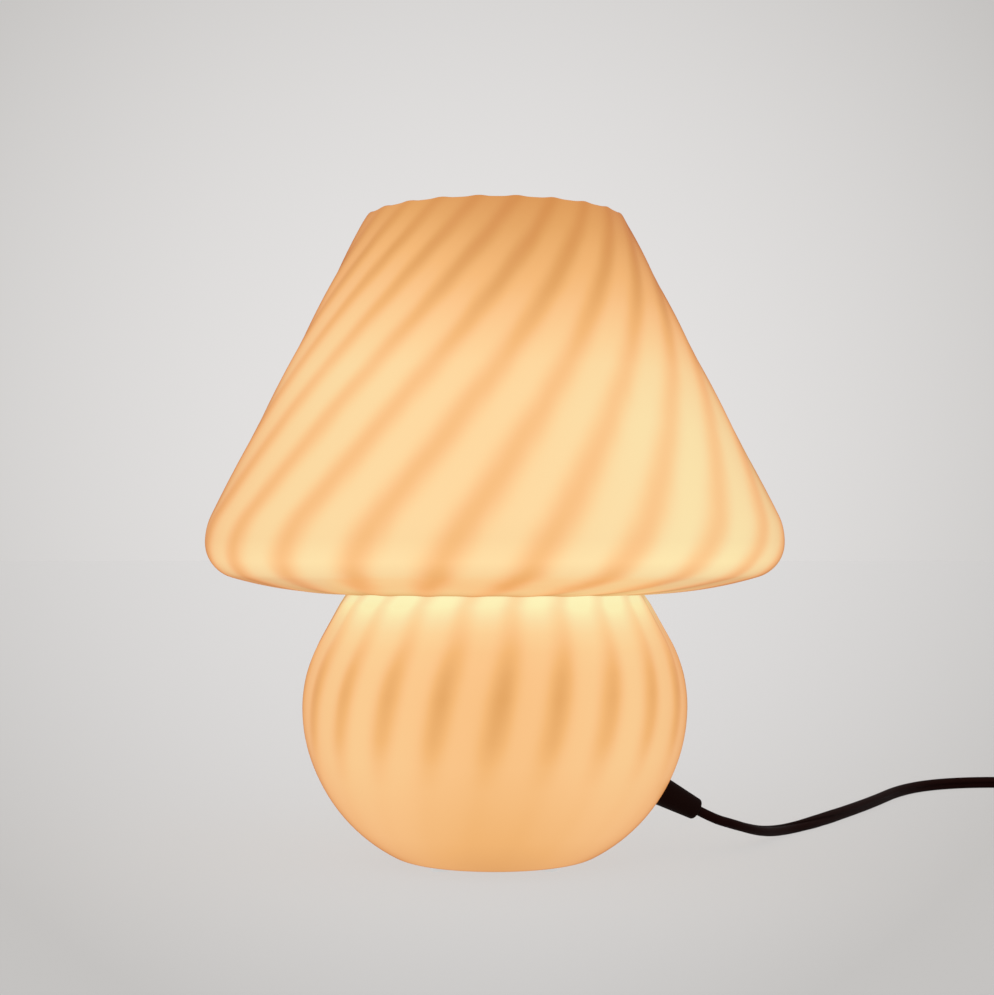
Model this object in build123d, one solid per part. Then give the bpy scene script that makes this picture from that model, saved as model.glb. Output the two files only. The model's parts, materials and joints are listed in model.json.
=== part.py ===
from build123d import *

import math
import os

# A mushroom table lamp in one piece of swirl-ribbed opal glass: a globe base, a neck and a
# conical shade that is open at the top. A lampholder stands on the glass floor, a lamp bulb
# screws into it, and a flat twin flex leaves low on the right through a strain relief, with a
# rocker switch, a coil of spare flex and a flat two-pin plug.
#
# Frame: millimetres, +Z up, origin on the table under the lamp's axis. The front is -Y, and
# the flex leaves towards +X.

# ---------------------------------------------------------------- driving dimensions

# Foot pads
PAD_THICKNESS = 1.5
PAD_RADIUS = 3.0
PAD_COUNT = 4

# Glass, heights counted from the underside of its foot
GLASS_WALL = 3.2
GLOBE_RADIUS = 66.3
GLOBE_EQUATOR_HEIGHT = 52.5
GLOBE_LOWER_ARC = 57.7
GLOBE_UPPER_ARC = 48.9
FOOT_ROUND = 14.0
PUNT_RADIUS = 22.5
PUNT_HEIGHT = 8.5
NECK_RADIUS = 51.4
NECK_HEIGHT = 91.9
UNDERSIDE_ARC = 150.0
SHADE_RADIUS = 99.7
SHADE_WIDEST_HEIGHT = 109.4
SHADE_LOWER_TURN = 12.0
SHADE_UPPER_TURN = 20.6
RIM_RADIUS = 45.2
RIM_HEIGHT = 222.2
LIP_ROUND = 1.4

# Swirled ribs
RIB_COUNT = 22
RIB_POINTS = 4
RIB_SHARPNESS = 2.2
RIB_HEIGHT_GLOBE = 0.5
RIB_HEIGHT_SHADE_FOOT = 0.25
RIB_HEIGHT_RIM = 0.75
RIB_START_HEIGHT = 18.0
RIB_FADE_LENGTH = 46.0
TWIST_GLOBE_LOW = 0.22
TWIST_GLOBE_HIGH = 0.19
TWIST_NECK = 0.085
TWIST_UNDERSIDE = 0.40
TWIST_SHADE = 0.62
NECK_FLARE_HEIGHT = 11.9
RIM_RIB_AZIMUTH = -80.45

# Lampholder, of the common 27 mm screw size
FLOOR_STAND = 1.5
FIXING_TUBE_RADIUS = 5.0
FIXING_TUBE_BORE = 3.6
FIXING_TUBE_PROUD = 1.0
FIXING_CLEARANCE = 0.05
GLASS_HOLE_CLEARANCE = 0.5
WASHER_RADIUS = 12.0
RUBBER_WASHER_THICKNESS = 1.5
STEEL_WASHER_THICKNESS = 1.0
NUT_ACROSS_FLATS = 14.0
NUT_THICKNESS = 3.0
HOLDER_RADIUS = 20.0
HOLDER_WALL = 2.0
HOLDER_CAP_HEIGHT = 18.0
HOLDER_CAP_FLOOR = 3.0
HOLDER_CAP_CHAMFER = 4.0
HOLDER_SHELL_HEIGHT = 31.0
HOLDER_MOUTH_RADIUS = 15.2
INSERT_FLANGE = 2.0
INSERT_BLOCK_HEIGHT = 8.0
INSERT_COLLAR_WALL = 2.6
INSERT_COLLAR_HEIGHT = 20.0
HOLDER_FIT = 0.2

# Screw thread shared by the lampholder and the bulb
THREAD_PITCH = 25.4 / 7
CAP_CORE_RADIUS = 12.15
CAP_RIDGE_CENTRE = 11.8
CAP_RIDGE_RADIUS = 1.3
CAP_THREAD_LENGTH = 15.5
SHELL_BORE_RADIUS = 13.35
SHELL_WALL = 0.85
SHELL_RIDGE_CENTRE = 13.3
SHELL_RIDGE_RADIUS = 0.8
SHELL_HEIGHT = 22.0
SHELL_FLOOR = 0.8
SHELL_FLOOR_BORE = 8.2
THREAD_MARGIN = 2.2

# Bulb, heights counted from the tip of its centre contact
CONTACT_LEAF_HEIGHT = 3.2
CONTACT_GAP = 0.1
CONTACT_LEAF_THICKNESS = 0.4
CONTACT_LEAF_WIDTH = 5.0
BULB_LENGTH = 110.0
BULB_RADIUS = 30.0
BULB_SHOULDER = 25.0
BULB_JOINT_RADIUS = 24.0
BULB_HOUSING_FOOT = 27.0
BULB_HOUSING_FOOT_RADIUS = 14.0
BULB_WALL = 1.6
EYELET_RADIUS = 4.8
EYELET_HEIGHT = 1.6
INSULATOR_HEIGHT = 4.4
CAP_FOOT_RADIUS = 11.4
CAP_SLEEVE_RADIUS = 13.2
CAP_WALL = 0.6
BOARD_THICKNESS = 1.6
BOARD_INSET = 1.3
LED_COUNT = 12
LED_SIZE = 2.8
LED_THICKNESS = 0.7
LED_CIRCLE = 15.0
DRIVER_WIDTH = 16.0
DRIVER_HEIGHT = 20.0
CHOKE_RADIUS = 4.0
CHOKE_REACH = 7.5

# Flex and its way out of the glass. The flat twin flex, 5.2 wide and 3.4 thick, is a round
# tube of about the same section.
FLEX_DIAMETER = 4.4
FLEX_FIT = 0.05
EXIT_AZIMUTH = 12.0
EXIT_HEIGHT = 22.7
EXIT_TILT = 28.0
INSIDE_RUN = 18.5
RELIEF_LENGTH = 17.7
RELIEF_SEAT_GAP = 0.12
RELIEF_FOOT_RADIUS = 5.4
RELIEF_TIP_RADIUS = 3.9
RELIEF_NECK_RADIUS = 4.1
RELIEF_TIP_ROUND = 1.2
COLLAR_RADIUS = 7.0
COLLAR_THICKNESS = 3.5
COLLAR_SEAT_GAP = 1.1
ENTRY_HEIGHT = 13.0
ENTRY_CLEARANCE = 0.3
CORE_RADIUS = 1.1
CORE_SPREAD = 1.3
GRIP_LENGTH = 5.0
GRIP_WIDTH = 11.0
TERMINAL_SIZE = 6.0
TERMINAL_SPREAD = 8.0
TERMINAL_SCREW_RADIUS = 1.4
TERMINAL_HEAD_RADIUS = 2.4
TERMINAL_HEAD_HEIGHT = 1.6

# Rocker switch on the flex
SWITCH_LENGTH = 60.0
SWITCH_WIDTH = 25.0
SWITCH_HEIGHT = 16.0
SWITCH_SPLIT_HEIGHT = 6.0
SWITCH_WALL = 1.8
SWITCH_CORNER = 9.0
SWITCH_TOP_ROUND = 3.0
SWITCH_FOOT_ROUND = 1.2
ROCKER_HALF_LENGTH = 8.0
ROCKER_WIDTH = 9.8
ROCKER_SIDE_GAP = 0.3
ROCKER_END_GAP = 1.0
ROCKER_PIVOT_DEPTH = 3.0
ROCKER_DIP_HEIGHT = 3.0
ROCKER_TIP_HEIGHT = 4.6
ROCKER_BELLY = 3.0
ROCKER_TILT = 11.0
PIVOT_RADIUS = 1.5
PIVOT_CLEARANCE = 0.05
PIVOT_LENGTH = 2.4
CHEEK_THICKNESS = 3.2
CHEEK_HALF_LENGTH = 4.0
SWITCH_SCREW_X = 15.0
SWITCH_SCREW_Y = 8.0
SWITCH_SCREW_RADIUS = 1.1
SWITCH_SCREW_HEAD = 2.2
SWITCH_SCREW_HEAD_HEIGHT = 1.5
SWITCH_BOSS_RADIUS = 2.9
SWITCH_FLEX_END = 16.0
CONTACT_POST_TOP = 8.5
CONTACT_POST_WIDTH = 4.0
CONTACT_POST_REACH = 9.5
CONTACT_FOOT_HEIGHT = 3.6
CLAMP_X = 22.0
CLAMP_LENGTH = 4.0
CLAMP_THICKNESS = 2.2
CLAMP_POST_WIDTH = 2.0
CLAMP_POST_GAP = 1.2

# Coil of spare flex
COIL_OUTER_RADIUS = 35.0
COIL_SPACING = 5.0
COIL_HALF_TURNS = 7
TIE_THICKNESS = 0.8
TIE_WIDTH = 12.0
TIE_GAP = 0.3

# Flat two-pin plug
PLUG_LENGTH = 36.0
PLUG_WIDTH = 35.3
PLUG_HEIGHT = 13.7
PLUG_SHOULDER = 14.0
PLUG_TAIL_WIDTH = 13.0
PLUG_TAIL_HEIGHT = 10.5
PLUG_BOOT_LENGTH = 20.0
PLUG_BOOT_TIP_RADIUS = 3.7
PIN_RADIUS = 2.0
PIN_NECK_RADIUS = 1.5
PIN_LENGTH = 19.0
PIN_SLEEVE_LENGTH = 10.0
PIN_ROOT = 8.0
PIN_SPACING = 18.6

# Route of the flex on the table, as points (x, y, z) of its middle
LYING = FLEX_DIAMETER / 2
FIRST_RUN = 7.0
LEAD_ROUTE = [
    (84.4, 20.1, 10.4),
    (90.4, 26.5, 7.9),
    (97.0, 36.5, 5.3),
    (103.8, 49.8, 3.3),
    (112.0, 64.0, LYING),
    (122.5, 76.5, LYING),
    (139.5, 102.6, LYING),
    (159.5, 138.0, LYING),
    (179.0, 177.0, LYING),
    (200.0, 199.0, LYING),
    (226.0, 207.0, LYING),
    (250.5, 200.0, LYING),
    (267.0, 180.5, 2.4),
    (273.2, 163.0, 4.2),
]
SWITCH_X = 274.0
SWITCH_CENTRE_Y = 112.0
COIL_CENTRE_Y = 38.0
LINK_ROUTE = [(274.6, 62.0, 4.4)]
TAIL_ROUTE = [(343.5, 64.5, 7.9), (338.0, 78.5, 7.4), (329.0, 90.0, 7.0)]
PLUG_X = 326.0
PLUG_CORD_Y = 106.0
ROUTE_SHARE = 0.45

# ---------------------------------------------------------------- places worked out from them

GLASS_FOOT = PAD_THICKNESS
PUNT_CEILING = GLASS_FOOT + PUNT_HEIGHT
GLASS_FLOOR = PUNT_CEILING + GLASS_WALL
HOLDER_FOOT = GLASS_FLOOR + RUBBER_WASHER_THICKNESS
CAP_RIM = HOLDER_FOOT + HOLDER_CAP_HEIGHT
INSERT_TOP = CAP_RIM + INSERT_BLOCK_HEIGHT
CONTACT_TOP = INSERT_TOP + CONTACT_LEAF_HEIGHT
BULB_FOOT = CONTACT_TOP + CONTACT_GAP
BULB_EQUATOR_HEIGHT = BULB_LENGTH - BULB_RADIUS
BULB_JOINT_HEIGHT = BULB_EQUATOR_HEIGHT - BULB_SHOULDER
FLEX_RADIUS = FLEX_DIAMETER / 2
ENTRY_Z = HOLDER_FOOT + ENTRY_HEIGHT
SWITCH_FLEX_Z = SWITCH_SPLIT_HEIGHT
PIVOT_Z = SWITCH_HEIGHT - ROCKER_PIVOT_DEPTH


# ---------------------------------------------------------------- small helpers


def polar(centre, radius, degrees):
    """A point at an angle on a circle, in a plane of radius and height."""
    angle = math.radians(degrees)
    return centre[0] + radius * math.cos(angle), centre[1] + radius * math.sin(angle)


def angle_of(centre, point):
    return math.degrees(math.atan2(point[1] - centre[1], point[0] - centre[0]))


def turned(*pieces):
    """The solid that lines and arcs in the plane of radius and height make round the axis."""
    return revolve(Plane.XZ * make_face(Wire(list(pieces))), Axis.Z).solid()


def turned_polygon(*points):
    return revolve(Plane.XZ * make_face(Polyline(*points, close=True)), Axis.Z).solid()


def tube_along(path, radius):
    """A round rod along a path."""
    start = Plane(origin=path @ 0, z_dir=path % 0)
    return sweep(start * Circle(radius), path=path).solid()


def ring(outer, inner, low, high):
    return turned_polygon((inner, low), (outer, low), (outer, high), (inner, high))


def box(low, high):
    """A block between two corners."""
    size = [b - a for a, b in zip(low, high)]
    return Pos(*low) * Box(*size, align=(Align.MIN, Align.MIN, Align.MIN))


def rod(radius, start, end):
    """A straight round rod between two points."""
    way = Vector(*end) - Vector(*start)
    place = Plane(origin=start, z_dir=way)
    return place * Cylinder(radius, way.length, align=(Align.CENTER, Align.CENTER, Align.MIN))


def save(node, *solids):
    """Writes one node, whose name is that of its file."""
    made = []
    for solid in solids:
        made += list(solid.solids())
    export_step(made[0] if len(made) == 1 else Compound(made), f"parts/{node}.step")


# ---------------------------------------------------------------- glass


class GlassOutline:
    """The arcs of the blown glass in the plane of radius and height, for a skin moved inwards."""

    def __init__(self, inset):
        self.inset = inset
        foot = GLASS_FOOT
        self.lower_centre = (GLOBE_RADIUS - GLOBE_LOWER_ARC, foot + GLOBE_EQUATOR_HEIGHT)
        self.upper_centre = (GLOBE_RADIUS - GLOBE_UPPER_ARC, foot + GLOBE_EQUATOR_HEIGHT)
        self.neck = (NECK_RADIUS, foot + NECK_HEIGHT)
        self.foot_centre, self.foot_angle = self.foot_round()
        self.flare_angle = self.tangent_angle(self.upper_centre, GLOBE_UPPER_ARC, self.neck)
        self.turn_centre = (SHADE_RADIUS - SHADE_LOWER_TURN, foot + SHADE_WIDEST_HEIGHT)
        self.brow_centre = (SHADE_RADIUS - SHADE_UPPER_TURN, foot + SHADE_WIDEST_HEIGHT)
        self.under_centre, self.under_angle = self.underside()
        self.lip_centre = (RIM_RADIUS - LIP_ROUND, foot + RIM_HEIGHT - LIP_ROUND)
        self.cone_angle = self.tangent_angle(
            self.brow_centre, SHADE_UPPER_TURN - LIP_ROUND, self.lip_centre
        )

    def foot_round(self):
        """Centre of the foot's round, inside the globe's lower arc, and where the two meet."""
        height = GLASS_FOOT + FOOT_ROUND
        rise = self.lower_centre[1] - height
        reach = math.sqrt((GLOBE_LOWER_ARC - FOOT_ROUND) ** 2 - rise**2)
        centre = (self.lower_centre[0] + reach, height)
        return centre, angle_of(self.lower_centre, centre)

    @staticmethod
    def tangent_angle(centre, radius, point):
        """Where a straight line to a point leaves an arc."""
        way = math.hypot(point[0] - centre[0], point[1] - centre[1])
        return angle_of(centre, point) - math.degrees(math.acos(radius / way))

    def underside(self):
        """Centre of the shade's underside arc, from the neck to the lower turn, and where they meet."""
        between = UNDERSIDE_ARC - SHADE_LOWER_TURN
        way = math.hypot(self.turn_centre[0] - self.neck[0], self.turn_centre[1] - self.neck[1])
        cosine = (way**2 + UNDERSIDE_ARC**2 - between**2) / (2 * way * UNDERSIDE_ARC)
        to_turn = angle_of(self.neck, self.turn_centre)
        centre = polar(self.neck, UNDERSIDE_ARC, to_turn + math.degrees(math.acos(cosine)))
        return centre, angle_of(centre, self.turn_centre)

    def points(self, steps_globe=(4, 9, 5, 3), steps_shade=(5, 6, 3, 9, 2)):
        """Points up the outside of the globe, and of the shade, ending at the neck and the lip."""

        def along(centre, radius, first, last, steps):
            step = (last - first) / steps
            return [polar(centre, radius, first + step * i) for i in range(1, steps + 1)]

        def line(start, end, steps):
            """Points that lie closer together towards both ends of a straight stretch."""
            shares = [(1 - math.cos(math.pi * i / steps)) / 2 for i in range(1, steps + 1)]
            return [tuple(a + (b - a) * share for a, b in zip(start, end)) for share in shares]

        globe = [polar(self.foot_centre, FOOT_ROUND, -90)]
        globe += along(self.foot_centre, FOOT_ROUND, -90, self.foot_angle, steps_globe[0])
        globe += along(self.lower_centre, GLOBE_LOWER_ARC, self.foot_angle, 0, steps_globe[1])
        globe += along(self.upper_centre, GLOBE_UPPER_ARC, 0, self.flare_angle, steps_globe[2])
        globe += line(globe[-1], self.neck, steps_globe[3])
        shade = [self.neck]
        first = angle_of(self.under_centre, self.neck)
        shade += along(self.under_centre, UNDERSIDE_ARC, first, self.under_angle, steps_shade[0])
        shade += along(self.turn_centre, SHADE_LOWER_TURN, self.under_angle, 0, steps_shade[1])
        shade += along(self.brow_centre, SHADE_UPPER_TURN, 0, self.cone_angle, steps_shade[2])
        shade += line(shade[-1], polar(self.lip_centre, LIP_ROUND, self.cone_angle), steps_shade[3])
        shade += along(self.lip_centre, LIP_ROUND, self.cone_angle, 90, steps_shade[4])
        return globe, shade

    def cavity(self):
        """The hollow inside, the same arcs one wall further in, open through the rim."""
        wall = self.inset
        slope = wall * (math.sqrt(2) - 1)
        floor_edge = (PUNT_RADIUS + slope - PUNT_HEIGHT, GLASS_FLOOR)
        gutter = (PUNT_RADIUS + slope, GLASS_FOOT + wall)
        foot = polar(self.foot_centre, FOOT_ROUND - wall, -90)
        flare = polar(self.upper_centre, GLOBE_UPPER_ARC - wall, self.flare_angle)
        neck_low = polar(self.neck, wall, self.flare_angle + 180)
        under_first = angle_of(self.under_centre, self.neck)
        brow = polar(self.brow_centre, SHADE_UPPER_TURN - wall, self.cone_angle)
        rim_inside = polar(self.lip_centre, LIP_ROUND - wall, self.cone_angle)
        above = GLASS_FOOT + RIM_HEIGHT + wall
        cone_run = (rim_inside[0] - brow[0]) / (rim_inside[1] - brow[1])
        mouth = (brow[0] + cone_run * (above - brow[1]), above)
        return turned(
            Line((0, GLASS_FLOOR), floor_edge),
            Line(floor_edge, gutter),
            Line(gutter, foot),
            CenterArc(self.foot_centre, FOOT_ROUND - wall, -90, self.foot_angle + 90),
            CenterArc(self.lower_centre, GLOBE_LOWER_ARC - wall, self.foot_angle, -self.foot_angle),
            CenterArc(self.upper_centre, GLOBE_UPPER_ARC - wall, 0, self.flare_angle),
            Line(flare, neck_low),
            CenterArc(self.neck, wall, self.flare_angle + 180, under_first - self.flare_angle),
            CenterArc(
                self.under_centre, UNDERSIDE_ARC - wall, under_first, self.under_angle - under_first
            ),
            CenterArc(self.turn_centre, SHADE_LOWER_TURN - wall, self.under_angle, -self.under_angle),
            CenterArc(self.brow_centre, SHADE_UPPER_TURN - wall, 0, self.cone_angle),
            Line(brow, mouth),
            Line(mouth, (0, above)),
            Line((0, above), (0, GLASS_FLOOR)),
        )


def rib_height(height):
    """How far a rib stands out at a height of the glass."""
    neck, rim = GLASS_FOOT + NECK_HEIGHT, GLASS_FOOT + RIM_HEIGHT
    if height > neck:
        share = (height - neck) / (rim - neck)
        return RIB_HEIGHT_SHADE_FOOT + (RIB_HEIGHT_RIM - RIB_HEIGHT_SHADE_FOOT) * share**1.5
    share = (height - GLASS_FOOT - RIB_START_HEIGHT) / RIB_FADE_LENGTH
    return RIB_HEIGHT_GLOBE * min(1, max(0, share))


def twist_at(height):
    """How fast the ribs swirl round at a height of the glass."""
    height -= GLASS_FOOT
    if height > NECK_HEIGHT:
        return TWIST_UNDERSIDE if height < SHADE_WIDEST_HEIGHT - SHADE_LOWER_TURN / 2 else TWIST_SHADE
    if height > NECK_HEIGHT - NECK_FLARE_HEIGHT:
        return TWIST_NECK
    return TWIST_GLOBE_HIGH if height > GLOBE_EQUATOR_HEIGHT else TWIST_GLOBE_LOW


def swirl(points, start):
    """Each point with the angle that the ribs have reached there, rising along the skin."""
    made, angle = [(*points[0], start)], start
    for (r0, z0), (r1, z1) in zip(points, points[1:]):
        twist = twist_at((z0 + z1) / 2)
        angle += math.degrees(twist * math.hypot(r1 - r0, z1 - z0) * 2 / (r0 + r1))
        made.append((r1, z1, angle))
    return made


def ribbed_ring(radius, height, angle, relief):
    """One closed outline round the glass, with its ribs."""
    around = []
    for i in range(RIB_COUNT * RIB_POINTS):
        turn = 360 * i / (RIB_COUNT * RIB_POINTS)
        swell = ((1 + math.cos(math.radians(turn * RIB_COUNT))) / 2) ** RIB_SHARPNESS
        x, y = polar((0, 0), radius + relief * swell, turn + angle)
        around.append(Vector(x, y, height))
    return Wire([Edge.make_spline(around, periodic=True)])


def ribbed_solid(stations, reliefs):
    rings = [ribbed_ring(*station, relief) for station, relief in zip(stations, reliefs)]
    return Solid.make_loft(rings, ruled=False)


def make_glass():
    """The one-piece glass body, and the hole low on its side for the flex."""
    outline = GlassOutline(GLASS_WALL)
    globe_points, shade_points = outline.points()
    neck_angle = RIM_RIB_AZIMUTH - swirl(shade_points, 0)[-1][2]
    globe = swirl(globe_points, neck_angle - swirl(globe_points, 0)[-1][2])
    shade = swirl(shade_points, neck_angle)
    neck_relief = rib_height(GLASS_FOOT + NECK_HEIGHT)
    globe_reliefs = [rib_height(z) for _, z, _ in globe[:-1]] + [neck_relief]
    shade_reliefs = [neck_relief] + [rib_height(z) for _, z, _ in shade[1:]]
    body = ribbed_solid(globe, globe_reliefs).fuse(ribbed_solid(shade, shade_reliefs))
    body = body.cut(outline.cavity()).solid()
    punt_top = PUNT_RADIUS - PUNT_HEIGHT
    body = body.cut(
        turned_polygon((0, 0), (PUNT_RADIUS + GLASS_FOOT, 0), (punt_top, PUNT_CEILING), (0, PUNT_CEILING))
    ).solid()
    hole = FIXING_TUBE_RADIUS + GLASS_HOLE_CLEARANCE
    body = body.cut(rod(hole, (0, 0, GLASS_FOOT), (0, 0, GLASS_FLOOR + GLASS_WALL))).solid()
    frame = exit_plane()
    bore = RELIEF_NECK_RADIUS + FLEX_FIT * 4
    through = frame * Pos(0, 0, -3 * GLASS_WALL) * Cylinder(
        bore, 6 * GLASS_WALL, align=(Align.CENTER, Align.CENTER, Align.MIN)
    )
    return body.cut(through.solid()).solid()


def exit_plane():
    """Where the flex leaves: on the glass, facing outwards and down."""
    outline = GlassOutline(0)
    height = GLASS_FOOT + EXIT_HEIGHT
    drop = math.degrees(math.asin((height - outline.lower_centre[1]) / GLOBE_LOWER_ARC))
    radius = polar(outline.lower_centre, GLOBE_LOWER_ARC, drop)[0]
    x, y = polar((0, 0), radius, EXIT_AZIMUTH)
    flat, down = polar((0, 0), 1, EXIT_TILT)
    dx, dy = polar((0, 0), flat, EXIT_AZIMUTH)
    return Plane(origin=(x, y, height), z_dir=(dx, dy, -down))


def globe_ball(offset):
    """The lower globe as a plain turned solid, for trimming what sits against it."""
    outline = GlassOutline(0)
    radius = GLOBE_LOWER_ARC + offset
    low = polar(outline.lower_centre, radius, outline.foot_angle)
    high = polar(outline.lower_centre, radius, 0)
    return turned(
        Line((0, low[1]), low),
        CenterArc(outline.lower_centre, radius, outline.foot_angle, -outline.foot_angle),
        Line(high, (0, high[1])),
        Line((0, high[1]), (0, low[1])),
    )


def make_foot_pads():
    middle = (PUNT_RADIUS + GlassOutline(0).foot_centre[0]) / 2
    pads = []
    for i in range(PAD_COUNT):
        x, y = polar((0, 0), middle, 45 + 360 * i / PAD_COUNT)
        pads.append(rod(PAD_RADIUS, (x, y, 0), (x, y, PAD_THICKNESS)))
    return pads


# ---------------------------------------------------------------- lampholder


def holder_turned(part):
    """A piece of the lampholder turned so that its side entry faces the flex."""
    return Rot(0, 0, EXIT_AZIMUTH) * part


def make_fixings():
    """Threaded tube, washers and nut that clamp the lampholder to the glass floor."""
    washer_low = PUNT_CEILING - RUBBER_WASHER_THICKNESS
    steel_low = washer_low - STEEL_WASHER_THICKNESS
    nut_low = steel_low - NUT_THICKNESS
    bore = FIXING_TUBE_RADIUS + FIXING_CLEARANCE
    tube_top = HOLDER_FOOT + HOLDER_CAP_FLOOR
    save("fixing_tube", ring(FIXING_TUBE_RADIUS, FIXING_TUBE_BORE, nut_low - FIXING_TUBE_PROUD, tube_top))
    save("lower_rubber_washer", ring(WASHER_RADIUS, bore, washer_low, PUNT_CEILING))
    save("upper_rubber_washer", ring(WASHER_RADIUS, bore, GLASS_FLOOR, HOLDER_FOOT))
    save("steel_washer", ring(WASHER_RADIUS - 1, bore, steel_low, washer_low))
    hexagon = Pos(0, 0, nut_low) * extrude(
        RegularPolygon(NUT_ACROSS_FLATS / 2, 6, major_radius=False), NUT_THICKNESS
    )
    save("fixing_nut", hexagon - rod(bore, (0, 0, nut_low - 1), (0, 0, steel_low + 1)))


def make_holder_cap():
    """The lampholder's lower cap, a cup with the flex entry in its side."""
    foot, rim, wall = HOLDER_FOOT, CAP_RIM, HOLDER_WALL
    inner = HOLDER_RADIUS - wall
    cup = turned_polygon(
        (FIXING_TUBE_RADIUS + FIXING_CLEARANCE, foot),
        (HOLDER_RADIUS - HOLDER_CAP_CHAMFER, foot),
        (HOLDER_RADIUS, foot + HOLDER_CAP_CHAMFER),
        (HOLDER_RADIUS, rim),
        (inner, rim),
        (inner, foot + HOLDER_CAP_CHAMFER + 1),
        (inner - HOLDER_CAP_CHAMFER + 2, foot + HOLDER_CAP_FLOOR),
        (FIXING_TUBE_RADIUS + FIXING_CLEARANCE, foot + HOLDER_CAP_FLOOR),
    )
    outside = HOLDER_RADIUS + wall
    entry = rod(FLEX_RADIUS + ENTRY_CLEARANCE, (inner - wall, 0, ENTRY_Z), (outside, 0, ENTRY_Z))
    return holder_turned(cup - entry)


def make_holder_shell():
    """The outer sleeve, with an inward lip at its mouth."""
    low = CAP_RIM + INSERT_FLANGE
    high = low + HOLDER_SHELL_HEIGHT
    inner = HOLDER_RADIUS - HOLDER_WALL
    sleeve = turned_polygon(
        (inner, low),
        (HOLDER_RADIUS, low),
        (HOLDER_RADIUS, high - HOLDER_WALL),
        (HOLDER_RADIUS - HOLDER_WALL, high),
        (HOLDER_MOUTH_RADIUS, high),
        (HOLDER_MOUTH_RADIUS, high - HOLDER_WALL),
        (inner, high - HOLDER_WALL),
    )
    ribs = [
        Rot(0, 0, 30 * i) * box((HOLDER_RADIUS - 0.5, -1, low + 4), (HOLDER_RADIUS + 0.6, 1, high - 8))
        for i in range(12)
    ]
    return sleeve.fuse(*[rib.solid() for rib in ribs])


def make_insert():
    """The insulating block that holds the screw shell and the contacts."""
    shell_outer = SHELL_BORE_RADIUS + SHELL_WALL
    bore = shell_outer + HOLDER_FIT
    collar = min(bore + INSERT_COLLAR_WALL, HOLDER_RADIUS - HOLDER_WALL - HOLDER_FIT)
    block = turned_polygon(
        (0, CAP_RIM),
        (HOLDER_RADIUS, CAP_RIM),
        (HOLDER_RADIUS, CAP_RIM + INSERT_FLANGE),
        (collar, CAP_RIM + INSERT_FLANGE),
        (collar, INSERT_TOP + INSERT_COLLAR_HEIGHT),
        (bore, INSERT_TOP + INSERT_COLLAR_HEIGHT),
        (bore, INSERT_TOP),
        (0, INSERT_TOP),
    )
    return holder_turned(block)


def thread_ridge(centre_radius, ridge_radius, low, turns, phase):
    """A round-backed ridge that climbs to the right."""
    path = Helix(THREAD_PITCH, THREAD_PITCH * turns, centre_radius)
    start = Plane(origin=path @ 0, z_dir=path % 0)
    ridge = sweep(start * Circle(ridge_radius), path=path, is_frenet=True)
    return Pos(0, 0, low) * Rot(0, 0, phase) * ridge


def make_screw_shell():
    """The threaded metal shell of the lampholder."""
    low, high = INSERT_TOP, INSERT_TOP + SHELL_HEIGHT
    outer = SHELL_BORE_RADIUS + SHELL_WALL
    cup = turned_polygon(
        (SHELL_FLOOR_BORE, low),
        (outer, low),
        (outer, high),
        (SHELL_BORE_RADIUS, high),
        (SHELL_BORE_RADIUS, low + SHELL_FLOOR),
        (SHELL_FLOOR_BORE, low + SHELL_FLOOR),
    )
    turns = (SHELL_HEIGHT - SHELL_FLOOR - 2 * THREAD_MARGIN) / THREAD_PITCH
    ridge = thread_ridge(
        SHELL_RIDGE_CENTRE, SHELL_RIDGE_RADIUS, low + SHELL_FLOOR + THREAD_MARGIN, turns, 0
    )
    return cup.fuse(ridge.solid())


def make_centre_contact():
    """The springy leaf that the bulb's centre contact presses on."""
    base = INSERT_TOP
    rise = CONTACT_LEAF_HEIGHT - CONTACT_LEAF_THICKNESS
    top = [(-7.2, 0), (-3.5, 0), (0.5, rise), (3.0, rise), (5.0, rise - 1.4)]
    under = [(x, z + CONTACT_LEAF_THICKNESS) for x, z in reversed(top)]
    side = make_face(Polyline(*top, *under, close=True))
    leaf = extrude(Plane.XZ * side, CONTACT_LEAF_WIDTH / 2, both=True)
    return holder_turned(Pos(0, 0, base) * leaf)


def terminal_blocks():
    """Places of the two terminals: x and z of their low corner, and their middles in y."""
    return -TERMINAL_SIZE - 0.5, CAP_RIM - TERMINAL_SIZE, (-TERMINAL_SPREAD, TERMINAL_SPREAD)


def make_terminals():
    """Two brass terminals under the block, each with its clamping screw."""
    x, z, sides = terminal_blocks()
    half, blocks, screws = TERMINAL_SIZE / 2, [], []
    for y in sides:
        block = box((x, y - half, z), (x + TERMINAL_SIZE, y + half, CAP_RIM))
        middle = x + half
        neck, foot = z - 0.5, z - 0.5 - TERMINAL_HEAD_HEIGHT
        shank = rod(TERMINAL_SCREW_RADIUS, (middle, y, neck), (middle, y, z + half))
        head = rod(TERMINAL_HEAD_RADIUS, (middle, y, foot), (middle, y, neck))
        slot = box(
            (middle - TERMINAL_HEAD_RADIUS, y - 0.3, foot),
            (middle + TERMINAL_HEAD_RADIUS, y + 0.3, z - 0.4 - TERMINAL_HEAD_HEIGHT / 2),
        )
        bore = TERMINAL_SCREW_RADIUS + FIXING_CLEARANCE
        hole = rod(bore, (middle, y, z - 1), (middle, y, z + half + 0.3))
        blocks.append(holder_turned(block - hole))
        screws.append(holder_turned(shank + head - slot))
    save("holder_terminals", *blocks)
    save("terminal_screws", *screws)


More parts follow.
